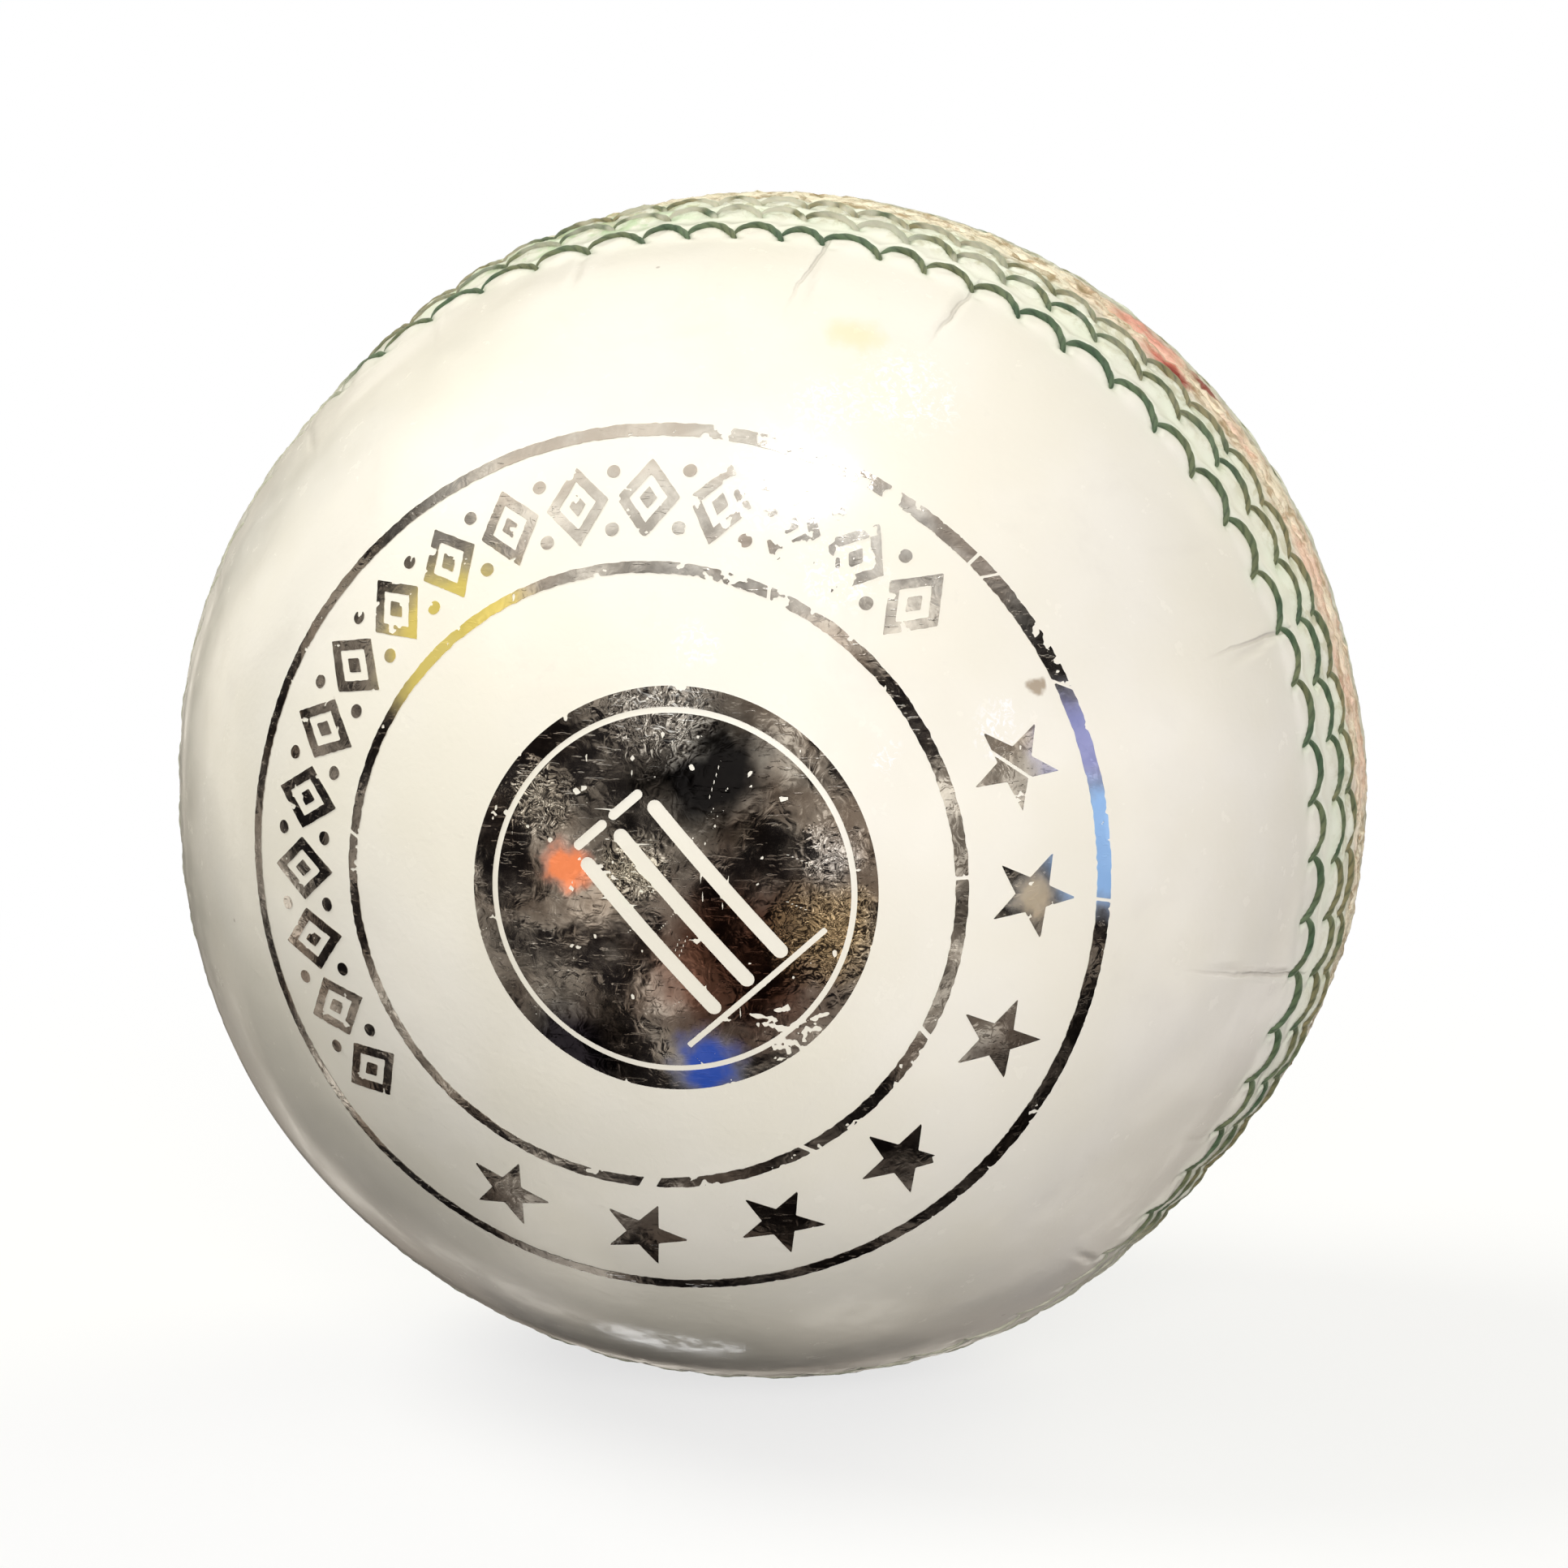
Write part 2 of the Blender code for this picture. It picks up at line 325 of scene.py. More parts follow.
def thread_mesh(name, row, cup):
    """A three-ply twisted thread round a row's closed line."""
    line, radii = paths[cup, row]
    tangent = np.roll(line, -1, 0) - np.roll(line, 1, 0)
    tangent /= np.linalg.norm(tangent, axis=1)[:, None]
    side, twist = carried_sides(line, tangent)
    up = np.cross(tangent, side)
    step = np.linalg.norm(np.roll(line, -1, 0) - line, axis=1)
    along = np.concatenate([[0], np.cumsum(step)[:-1]])
    total = step.sum()
    phase = 2 * math.pi * round(total / PLY_SPACING) * along / total
    angle = np.arange(THREAD_SIDES) * 2 * math.pi / THREAD_SIDES
    turned = angle[None] + (twist * along / total)[:, None]
    lobes = np.sqrt(0.5 + 0.5 * np.cos(PLIES * angle[None] - phase[:, None]))
    radius = radii[:, None] * (0.86 + 0.17 * lobes)
    fuzz = value_noise(line[:, None] * 6 + angle[None, :, None], 5)
    radius = radius * (0.97 + 0.06 * fuzz)
    rings = (
        line[:, None]
        + side[:, None] * (radius * np.cos(turned))[..., None]
        + up[:, None] * (radius * np.sin(turned))[..., None]
    )
    obj = lathe(name, rings)
    attribute(obj, "ply", lobes.reshape(-1))
    # pale where the seam is pressed flat, and paler in patches over the top in the inner rows
    phi = np.degrees(np.arctan2(line[:, 0], line[:, 2]))
    top_paling = 0.75 * bell(phi - 3.0, 30.0) * smooth(0.30, 0.62, value_noise(line * 0.9, 77))
    thread_paling = np.maximum(pressed(phi, cup), top_paling * (row > 0))
    attribute(obj, "thread_paling", np.repeat(thread_paling, THREAD_SIDES))
    return obj


paths = {(cup, row): row_path(row, cup) for cup in (FRONT, BACK) for row in range(3)}

# ------------------------------------------------------------ the leather cups

COLUMNS = STITCHES * 12  # grid points round a cup
# Rings of the outer face, closer together towards the seam
OUTER_THETAS = np.concatenate(
    [np.arange(2.0, 60.0, 2.0), np.arange(60.0, 69.5, 0.95), np.arange(69.5, 89.0, 0.3)]
)
# The rounded lip: (distance from the seam plane, drop below the last outer ring), in mm
LIP = ((0.42, 0.03), (0.26, 0.10), (0.12, 0.24), (0.05, 0.48), (0.035, 1.2))
SEAM_INNER_THETAS = (89.94, 78.0, 67.0)
INNER_THETAS = (65.5, 58.0, 50.0, 42.0, 34.0, 26.0, 18.0, 10.0, 4.0)

# Creases that run from the outer row of stitches towards the pole, as
# (longitude, colatitude where it dies out, depth in mm, lean in degrees)
CREASES = {
    FRONT: [
        (9.3, 59.4, 0.12, 1.0),
        (24.4, 61.4, 0.20, -0.5),
        (69.8, 61.2, 0.17, 0.6),
        (103.6, 56.7, 0.22, -0.8),
    ],
    BACK: [],
}


def add_small_creases():
    rng = np.random.default_rng(7)
    for cup, start, stop in ((FRONT, 122.0, 355.0), (BACK, 0.0, 352.0)):
        at = start
        while at < stop:
            end, depth = rng.uniform(62.0, 67.0), rng.uniform(0.05, 0.13)
            CREASES[cup].append((at, end, depth, rng.uniform(-1.2, 1.2)))
            at += rng.uniform(13.0, 34.0)


add_small_creases()


def nearest_thread(row, cup, points):
    """Distance from each point to a row's visible thread, and the thread's radius there."""
    line, radii = paths[cup, row]
    shown = radii > 0.16
    flat = line[shown] / np.linalg.norm(line[shown], axis=1)[:, None] * RADIUS
    tree = kdtree.KDTree(len(flat))
    for i, point in enumerate(flat):
        tree.insert(point, i)
    tree.balance()
    found = np.array([tree.find(point)[1:] for point in points.reshape(-1, 3)])
    shape = points.shape[:-1]
    return found[:, 1].reshape(shape), radii[shown][found[:, 0].astype(int)].reshape(shape)


def press_stitches(cup, thetas, phis, ways, height):
    """Shape height round the stitches, and give back how much dye each point takes, which also sets the
    painted shade beside the threads.
    """
    dye_and_shade = np.zeros_like(thetas)
    for row, (near, far) in enumerate(ROWS[cup]):
        rows = np.nonzero((OUTER_THETAS > near - 3.2) & (OUTER_THETAS < far + 3.0))[0]
        theta, phi = thetas[rows], phis[rows]
        gap, thread = nearest_thread(row, cup, ways[rows] * RADIUS)
        flat = pressed(phi, cup) if cup == FRONT else 0.5
        held = 1 - 0.85 * flat
        # the leather wells up between the stitches and sinks under the thread
        groove = -0.19 * (1 - 0.4 * flat) * bell(gap, thread + 0.04)
        welt = 0.10 * held * bell(gap - thread - 0.28, 0.24)
        height[rows] += groove + welt
        dye_and_shade[rows] = np.maximum(dye_and_shade[rows], np.exp(-((gap / 0.70) ** 1.2)))
        # a pillow of leather held under each arc
        along = (stitch_at(phi) - row_shift(row, cup, phi)) % 1.0
        rise = (theta - near) / (far - near)
        pillow = bell(along - 0.5, 0.30) * bell(rise - 0.30, 0.42)
        swell = 0.8 + 0.9 * (value_noise(ways[rows] * 9.0, 70 + row) - 0.5)
        height[rows] += 0.23 * held * swell * pillow
        # the pull of each tail, a small pit beyond the row
        pit = bell((along - 0.07 + 0.5) % 1 - 0.5, 0.11) * bell(rise + 0.10, 0.16)
        height[rows] -= 0.15 * (1 - 0.6 * flat) * pit
    return dye_and_shade


def press_creases(cup, thetas, phis, ways, height):
    """Cut the creases into height, and give back how deep in a crease each point lies."""
    crease = np.zeros_like(thetas)
    for at, end, depth, lean in CREASES[cup]:
        turn = angle_from(phis, at + lean * (71.5 - thetas) / 8)
        gap = turn * np.pi / 180 * RADIUS * np.sin(np.radians(thetas))
        gap = gap + 0.35 * (value_noise(ways * 26 + at, 2) - 0.5)
        fade = smooth(end, end + 5.5, thetas) * (1 - smooth(71.0, 72.6, thetas))
        line = bell(gap, 0.20) * fade
        height += -depth * line + 0.40 * depth * bell(gap, 1.0) * fade
        crease = np.maximum(crease, line)
    return crease


def roughen_lip(cup, thetas, phis, ways, height):
    """Make height ragged towards the seam plane, and give back the cracks."""
    crumbs = layered_noise(ways * RADIUS * 1.7, 4, 31)
    cracks = bell(value_noise(ways * RADIUS * 1.1, 33) - 0.5, 0.055)
    loose = 1 - 0.65 * pressed(phis, cup)
    height += smooth(80.5, 86.0, thetas) * loose * (0.46 * (crumbs - 0.5) - 0.13 * cracks)
    uneven = value_noise(ways * RADIUS * 1.3, 35) - 0.5
    height += smooth(71.5, 76.0, thetas) * 0.11 * uneven
    height += 0.05 * bell(thetas - 87.4, 0.9)
    return cracks


def cup_mesh(name, cup):
    phi = np.arange(COLUMNS) * 360.0 / COLUMNS
    thetas, phis = np.meshgrid(OUTER_THETAS, phi, indexing="ij")
    ways = direction(thetas, phis, cup)
    height = leather_base(thetas, phis) + dents(ways) * (1 - 0.75 * smooth(66, 72, thetas))
    kept = 1 - 0.8 * pressed(phis, cup)  # dye is rubbed out where the seam is pressed flat
    dye_and_shade = press_stitches(cup, thetas, phis, ways, height) * kept
    crease = press_creases(cup, thetas, phis, ways, height)
    cracks = roughen_lip(cup, thetas, phis, ways, height)

    hidden = []  # the rings of the lip and the inside
    for from_seam, drop in LIP:
        way = direction(90.0 - math.degrees(from_seam / RADIUS), phi, cup)
        hidden.append(way * (RADIUS + height[-1] - drop)[:, None])
    for theta in SEAM_INNER_THETAS:
        hidden.append(direction(theta, phi, cup) * SEAM_INNER_RADIUS)
    for theta in INNER_THETAS:
        way = direction(theta, phi, cup)
        uneven = 0.10 * (layered_noise(way * 30, 2, 4) - 0.5)
        hidden.append(way * (INNER_RADIUS + uneven)[:, None])
    rings = np.concatenate([ways * (RADIUS + height)[..., None], np.array(hidden)])
    pole = direction(0.0, 0.0, cup)
    poles = (pole * (RADIUS + dents(pole[None])[0]), pole * INNER_RADIUS)
    obj = lathe(name, rings, poles, sharp=70)

    grubby = 0.60 + 0.40 * bell(angle_from(phis, 345), 50.0)
    # (name, values on the outer face, value on the hidden rings and at both poles)
    for key, values, rest in (
        ("dye_and_shade", dye_and_shade, 0.0),
        ("crease", crease, 0.0),
        ("band", smooth(73.5, 77.0, thetas) * (0.4 + 0.6 * kept), 1.0),
        ("lip", smooth(82.0, 86.0, thetas), 1.0),
        ("crack", cracks * smooth(80.5, 85.5, thetas), 0.0),
        ("raw", smooth(84.4, 87.2, thetas), 1.0),
        ("dirt", smooth(76.0, 79.5, thetas) * grubby, 0.0),
    ):
        spare = np.full(len(hidden) * COLUMNS + 2, rest)
        if key == "raw":
            spare[-2] = 0.0  # the outer pole is finished leather
        attribute(obj, key, np.concatenate([values.reshape(-1), spare]))
    return obj


# ------------------------------------------------------------- the foil stamp

# The artwork is drawn in a plane in mm, with the pole at its origin, x towards
# longitude 90 and y towards longitude 0. It is a field, positive where there is
# foil, that is wrapped on to the front cup with its distances from the pole kept.
STAMP_UP = -41.4  # longitude that is "up" for the artwork
OUTSIDE = -5.0  # the field away from any shape
FOIL_TOP, FOIL_UNDER = 0.035, -0.02  # the faces of the foil over the leather
EDGE_ROUGHNESS = 0.045
BAND_RADIUS = 22.5  # of the centres of the stars and lozenges
BAND_HALF_GRID = 25.6

# Each ring: its wear and gaps are (longitude, half width, amount) and (longitude,
# length, tilt); the line swells to width + swell towards the longitude heavy_at
FOIL_RINGS = (
    dict(
        name="foil_ring_outer", half_grid=28.2, radius=27.08,
        width=0.82, swell=0.13, heavy_at=60, seed=21,
        least_wear=0.12, wear_at=((16, 15, 0.92), (38, 12, 0.55), (320, 30, 0.2)),
        wear_shift=(0, 0),
        gap_width=2.2, gaps=((44, 0.22, 0), (47, 0.16, 30), (93, 0.2, 10), (64, 0.16, 45)),
    ),
    dict(
        name="foil_ring_inner", half_grid=19.2, radius=18.22,
        width=0.70, swell=0.07, heavy_at=90, seed=22,
        least_wear=0.18, wear_at=((12, 25, 0.55), (140, 32, 0.35), (180, 14, 0.45)),
        wear_shift=(7, -3),
        gap_width=2.0,
        gaps=(
            (22, 0.2, -20), (88, 0.2, 0), (118, 0.3, 25),
            (150, 0.3, -30), (181, 0.9, 30), (276, 0.2, 20),
        ),
    ),
)

STAR_LONGITUDES = (71.6, 91.7, 115.0, 139.4, 161.4, 183.2, 205.7)
STAR_OUTER, STAR_INNER, STAR_TIP = 2.75, 1.10, 26.5  # radii, and longitude a tip points at
# (longitude, radius, length, width, tilt)
STAR_GAPS = ((136.2, 24.6, 0.9, 1.4, 30), (71.2, 22.2, 4.6, 0.20, -38), (66.0, 20.6, 1.8, 1.5, 10))

LOZENGES = 16
LOZENGE_PITCH = 11.2  # degrees
LOZENGE_HALF = (1.95, 2.6)  # half width and half height
LOZENGE_CORE = (0.52, 0.72)
LOZENGE_LINE = 0.62
DOT_RADIUS, DOT_OFFSET = 0.42, 1.85

ROUNDEL_CENTRE = (1.9, -0.1)
ROUNDEL_RADIUS = 11.55
ROUNDEL_LINE = 10.2  # radius of the line cut inside its edge
LINE_HALF = 0.17  # half width of the lines cut in it
STUMPS, STUMP_SIZE, STUMP_HEIGHT = (-2.5, 0.0, 2.5), (11.4, 0.85), -1.1
BAILS, BAIL_SIZE, BAIL_HEIGHT = (-1.32, 1.32), (2.35, 0.55), 5.35
GROUND_HEIGHT, GROUND_HALF = -7.15, 5.2
NICKS, NICK_WIDTH = 26, 0.07
# Ragged scratches: start and end as (colatitude, longitude), and width
SCRATCHES = (
    ((14.2, 139.2), (18.7, 130.9), 0.55),
    ((15.9, 138.5), (22.0, 126.5), 0.75),
    ((17.7, 135.9), (20.2, 123.4), 0.55),
    ((20.9, 136.0), (21.6, 122.6), 0.60),
    ((18.5, 136.5), (21.9, 133.5), 0.55),
    ((19.4, 131.0), (21.0, 127.0), 0.80),
    ((4.6, 52.5), (12.9, 40.5), 0.16),
    ((6.0, 62.0), (11.5, 45.0), 0.12),
)


def grid(half, cell=0.1):
    side = np.arange(-half, half + cell / 2, cell)
    return np.meshgrid(side, side)


def polar(x, y):
    return np.hypot(x, y), np.degrees(np.arctan2(x, y))


def in_space(x, y):
    return np.stack([x, y, np.zeros_like(x)], -1)


def place(at, radius, across=0.0):
    """The plane point at a longitude and radius, moved across clockwise."""
    angle = math.radians(at)
    sin, cos = math.sin(angle), math.cos(angle)
    return across * cos + radius * sin, -across * sin + radius * cos


def turned(x, y, at):
    """The distances across and out along a longitude."""
    angle = math.radians(at)
    sin, cos = math.sin(angle), math.cos(angle)
    return x * cos - y * sin, x * sin + y * cos


def polygon(x, y, points):
    """Signed distance to a polygon, positive inside, worked out only near it."""
    points = np.asarray(points, float)
    out = np.full(x.shape, OUTSIDE)
    low, high = points.min(0) - 1.0, points.max(0) + 1.0
    near = (x > low[0]) & (x < high[0]) & (y > low[1]) & (y < high[1])
    px, py = x[near], y[near]
    best = np.full(px.shape, 1e9)
    inside = np.zeros(px.shape, bool)
    for (ax, ay), (bx, by) in zip(points, np.roll(points, -1, 0)):
        ex, ey = bx - ax, by - ay
        t = np.clip(((px - ax) * ex + (py - ay) * ey) / (ex * ex + ey * ey), 0, 1)
        best = np.minimum(best, np.hypot(px - ax - t * ex, py - ay - t * ey))
        straddles = (ay > py) != (by > py)
        inside ^= straddles & (px < (bx - ax) * (py - ay) / (by - ay + 1e-12) + ax)
    out[near] = np.where(inside, best, -best)
    return out


def star(x, y, at):
    cx, cy = place(at, BAND_RADIUS)
    points = []
    for k in range(10):
        dx, dy = place(STAR_TIP + 36 * k, (STAR_OUTER, STAR_INNER)[k % 2])
        points.append((cx + dx, cy + dy))
    return polygon(x, y, points)


def lozenge(x, y, at, half_width, half_height):
    corners = ((0, half_height), (half_width, 0), (0, -half_height), (-half_width, 0))
    return polygon(x, y, [place(at, BAND_RADIUS + out, across) for across, out in corners])


def bar(x, y, cx, cy, length, width):
    """A round-ended upright bar, positive inside."""
    half = length / 2 - width / 2
    return width / 2 - np.hypot(x - cx, np.maximum(np.abs(y - cy) - half, 0))


def gap_box(x, y, at, radius, length, width, tilt):
    """Distance outside a small tilted box scraped across the foil."""
    cx, cy = place(at, radius)
    across, out = turned(x - cx, y - cy, at + tilt)
    return np.maximum(np.abs(across) - length / 2, np.abs(out) - width / 2)


def scratch(x, y, start, end, width):
    """Distance outside a ragged scratch between two (colatitude, longitude) points."""
    (ax, ay), (bx, by) = (place(phi, math.radians(theta) * RADIUS) for theta, phi in (start, end))
    ex, ey = bx - ax, by - ay
    t = np.clip(((x - ax) * ex + (y - ay) * ey) / (ex * ex + ey * ey), 0, 1)
    points = in_space(x, y)
    ragged = value_noise(points * 2.4, 61) - 0.35 + 0.5 * (value_noise(points * 7.0, 62) - 0.5)
    taper = np.sin(np.pi * (0.1 + 0.8 * t))
    return np.hypot(x - ax - t * ex, y - ay - t * ey) - width * ragged * taper


def rough_edge(x, y, seed):
    return EDGE_ROUGHNESS * (value_noise(in_space(x, y) * 3.2, seed) - 0.5)


def wear(x, y, amount):
    """How far a point is from being worn through, in mm; negative where the foil has gone."""
    points = in_space(x, y)
    flecks = layered_noise(points * 1.5 + 40, 4, 11)
    patches = layered_noise(points * 0.16 + 9, 2, 12)
    grit = value_noise(points * 4.5 + 3, 13)
    level = 0.80 - 0.20 * amount - 0.24 * (patches - 0.5) * (0.4 + amount)
    return (level - flecks) * 0.9 + (0.5 - grit) * 0.03


def foil_sheet(name, x, y, field):
    """The part of a plane grid where field is above 0, laid on the leather as a closed sheet."""
    inside = field > 0
    filled = inside[:-1, :-1].astype(int) + inside[:-1, 1:] + inside[1:, 1:] + inside[1:, :-1]
    coords, ids, polys = [], {}, []

    def corner(at):
        if at not in ids:
            ids[at] = len(coords)
            coords.append((x[at], y[at]))
        return ids[at]

    def crossing(*ends):
        a, b = key = tuple(sorted(ends))
        if key not in ids:
            t = min(max(field[a] / (field[a] - field[b]), 0.04), 0.96)
            ids[key] = len(coords)
            coords.append((x[a] + t * (x[b] - x[a]), y[a] + t * (y[b] - y[a])))
        return ids[key]

    def cell_corners(i, j):
        return (i, j), (i, j + 1), (i + 1, j + 1), (i + 1, j)

    for i, j in zip(*np.nonzero(filled == 4)):
        polys.append(tuple(corner(at) for at in cell_corners(i, j)))
    for i, j in zip(*np.nonzero((filled > 0) & (filled < 4))):
        loop = cell_corners(i, j)
        poly = []
        for k in range(4):
            a, b = loop[k], loop[(k + 1) % 4]
            if inside[a]:
                poly.append(corner(a))
            if inside[a] != inside[b]:
                poly.append(crossing(a, b))
        if len(poly) > 2:
            polys.append(tuple(poly))

    radius, phi = polar(*np.array(coords).T)
    theta = np.degrees(radius / RADIUS)
    way = direction(theta, phi, FRONT)
    ground = RADIUS + leather_base(theta) + dents(way)
    verts = np.vstack([way * (ground + lift)[:, None] for lift in (FOIL_TOP, FOIL_UNDER)])
    count = len(coords)
    edges = {(p[k], p[(k + 1) % len(p)]) for p in polys for k in range(len(p))}
    faces = polys + [tuple(v + count for v in p[::-1]) for p in polys]
    for a, b in edges:
        if (b, a) not in edges:
            faces.append((a, a + count, b + count, b))
    return mesh_object(name, verts, faces, sharp=40)


def foil_ring(
    name, half_grid, radius, width, swell, heavy_at, seed,
    least_wear, wear_at, wear_shift, gap_width, gaps,
):
    x, y = grid(half_grid)
    out, phi = polar(x, y)
    line = width + swell * np.cos(np.radians(phi - heavy_at))
    field = line / 2 - np.abs(out - radius) + 2 * rough_edge(x, y, seed)
    worn = wear(x + wear_shift[0], y + wear_shift[1], least_wear + bells_round(phi, wear_at))
    field = np.minimum(field, worn)
    for at, length, tilt in gaps:
        field = np.minimum(field, gap_box(x, y, at, radius, length, gap_width, tilt))
    return foil_sheet(name, x, y, np.where(np.abs(out - radius) < 1.0, field, -1))


def foil_stars():
    """Seven stars along the foot of the band."""
    x, y = grid(BAND_HALF_GRID)
    phi = polar(x, y)[1]
    field = np.full(x.shape, OUTSIDE)
    for at in STAR_LONGITUDES:
        field = np.maximum(field, star(x, y, at))
    field = np.minimum(field, wear(x - 5, y + 8, -0.25 + bells_round(phi, ((90, 30, 0.30),))))
    for gap in STAR_GAPS:
        field = np.minimum(field, gap_box(x, y, *gap))
    return foil_sheet("foil_stars", x, y, field)


def foil_border():
    """Lozenges round the head of the band, with a pair of dots between neighbours."""
    x, y = grid(BAND_HALF_GRID)
    phi = polar(x, y)[1]
    field = np.full(x.shape, OUTSIDE)
    for k in range(LOZENGES):
        at = STAMP_UP + (k - (LOZENGES - 1) / 2) * LOZENGE_PITCH
        big = lozenge(x, y, at, *LOZENGE_HALF)
        core = lozenge(x, y, at, *LOZENGE_CORE)
        field = np.maximum(field, np.maximum(np.minimum(big, LOZENGE_LINE - big), core))
        if k < LOZENGES - 1:
            for out in (DOT_OFFSET, -DOT_OFFSET):
                cx, cy = place(at + LOZENGE_PITCH / 2, BAND_RADIUS + out)
                field = np.maximum(field, DOT_RADIUS - np.hypot(x - cx, y - cy))
    field = field + rough_edge(x, y, 23)
    worn = 0.18 + bells_round(phi, ((21, 17, 0.95), (330, 40, 0.3)))
    return foil_sheet("foil_border", x, y, np.minimum(field, wear(x + 2, y + 1, worn)))


def foil_roundel():
    """A plain roundel with a wicket knocked out of it."""
    x, y = grid(14.2, cell=0.11)
    across, up = turned(x - ROUNDEL_CENTRE[0], y - ROUNDEL_CENTRE[1], STAMP_UP)
    out = np.hypot(across, up)
    cuts = [np.abs(out - ROUNDEL_LINE) - LINE_HALF]
    cuts += [-bar(across, up, at, STUMP_HEIGHT, *STUMP_SIZE) for at in STUMPS]
    cuts += [-bar(up, across, BAIL_HEIGHT, at, *BAIL_SIZE) for at in BAILS]
    ground = np.abs(up - GROUND_HEIGHT) - LINE_HALF
    cuts.append(np.maximum(ground, np.abs(across) - GROUND_HALF))
    worn = 0.05 + 0.55 * bell(np.hypot(x - 7.5, y + 6), 3.0)
    cuts.append(wear(x + 15, y - 6, worn))
    cuts += [scratch(x, y, *ends_and_width) for ends_and_width in SCRATCHES]
    for k in range(NICKS):
        rng = np.random.default_rng(500 + k)
        radius, at = rng.uniform(1, 11), rng.uniform(0, 360)
        length, tilt = rng.uniform(0.5, 2.4), rng.uniform(-80, 80)
        cuts.append(gap_box(x, y, at, radius, length, NICK_WIDTH, tilt))
    field = functools.reduce(np.minimum, cuts, ROUNDEL_RADIUS - out)
    return foil_sheet("foil_roundel", x, y, field)


# ------------------------------------------------------------------ materials


class Graph:
    """Short ways to add nodes to a shader tree."""

    def __init__(self, tree):
        self.tree = tree

    def put(self, socket, value):
        if isinstance(value, bpy.types.NodeSocket):
            self.tree.links.new(value, socket)
        elif isinstance(value, tuple) and socket.type == "RGBA" and len(value) == 3:
            socket.default_value = (*value, 1.0)
        else:
            socket.default_value = value

    def node(self, kind, inputs=None, **settings):
        node = self.tree.nodes.new("ShaderNode" + kind)
        for key, value in settings.items():
            setattr(node, key, value)
        for key, value in (inputs or {}).items():
            self.put(node.inputs[key], value)
        return node

    def math(self, operation, a, b=0.0, clamp=False):
        return self.node("Math", {0: a, 1: b}, operation=operation, use_clamp=clamp).outputs[0]

    def fold(self, operation, values):
        return functools.reduce(functools.partial(self.math, operation), values)

    def product(self, *factors):
        return self.fold("MULTIPLY", factors)

    def vec(self, operation, a, b=None, scale=None):
        inputs = {0: a, 1: b, "Scale": scale}
        inputs = {key: value for key, value in inputs.items() if value is not None}
        node = self.node("VectorMath", inputs, operation=operation)
        scalar = operation in ("DISTANCE", "LENGTH", "DOT_PRODUCT")
        return node.outputs["Value" if scalar else 0]

    def noise(self, size, detail=3.0, rough=0.5, distort=0.0, vector=None):
        """Noise whose features are about size across, in mm on the ball."""
        inputs = {
            "Vector": vector or self.mm,
            "Scale": 1.0 / size,
            "Detail": detail,
            "Roughness": rough,
            "Distortion": distort,
        }
        return self.node("TexNoise", inputs).outputs["Fac"]

    def ramp(self, x, edge, out=(0.0, 1.0)):
        """A smooth step from out[0] to out[1] as x crosses edge."""
        inputs = {
            "Value": x,
            "From Min": edge[0],
            "From Max": edge[1],
            "To Min": out[0],
            "To Max": out[1],
        }
        return self.node("MapRange", inputs, interpolation_type="SMOOTHSTEP").outputs[0]

    def mix(self, share, a, b):
        return self.node("Mix", {0: share, 6: a, 7: b}, data_type="RGBA").outputs[2]

    def mix_shader(self, share, a, b):
        return self.node("MixShader", {0: share, 1: a, 2: b}).outputs[0]


class Look(Graph):
    """A Principled material in millimetres whose colour is painted in layers."""

    def __init__(self, name):
        self.material = bpy.data.materials.new(name)
        self.material.use_nodes = True
        super().__init__(self.material.node_tree)
        self.mm = self.vec("SCALE", self.node("TexCoord").outputs["Object"], scale=1000.0)

    def paint(self, colour, *masks, share=None):
        """Lay a colour over the rest where all the masks are, at a share of full strength."""
        if share is not None:
            masks += (share,)
        self.colour = self.mix(self.product(*masks), self.colour, colour)

    def patches(self, size, edge, out=(0.0, 1.0), **noise):
        return self.ramp(self.noise(size, **noise), edge, out)

    def wander(self, size, reach, detail=3):
        """Noise centred on 0, in mm."""
        return self.product(self.math("SUBTRACT", self.noise(size, detail), 0.5), reach)

    def cells(self, size, feature="F1"):
        inputs = {"Vector": self.mm, "Scale": 1.0 / size}
        return self.node("TexVoronoi", inputs, feature=feature)

    def attr(self, name):
        return self.node("Attribute", attribute_name=name).outputs["Fac"]

    def bump(self, height, depth, strength, normal=None):
        """depth in mm; normal is the bump under this one."""
        inputs = {"Height": height, "Distance": depth * MM, "Strength": strength}
        if normal is not None:
            inputs["Normal"] = normal
        return self.node("Bump", inputs).outputs[0]

    def spot(self, at, edge):
        """1 within edge[0] mm of a (theta, phi), 0 beyond edge[1], with a wandering edge."""
        distance = self.vec("DISTANCE", self.mm, on_ball(*at))
        wander = self.wander(size=1.4, reach=2.2)
        return self.ramp(self.math("ADD", distance, wander), edge, out=(1.0, 0.0))

    def done(self, **inputs):
        """Connect the colour and the other inputs, and give back the material."""
        shader = self.tree.nodes["Principled BSDF"]
        self.put(shader.inputs["Base Color"], self.colour)
        for key, value in inputs.items():
            self.put(shader.inputs[key.replace("_", " ")], value)
        return self.material


def on_ball(theta, phi):
    """A point of the ball, with theta measured from the front pole."""
    return tuple(float(part) for part in direction(theta, phi, FRONT) * RADIUS)


# The long creases of the front cup, from the stitches to where they die out
CREASE_LINES = (
    ((72.4, 9.4), (58.0, 8.6)),
    ((72.6, 24.3), (60.0, 24.0)),
    ((73.0, 69.8), (58.5, 68.6)),
    ((73.0, 103.8), (52.0, 102.1)),
)
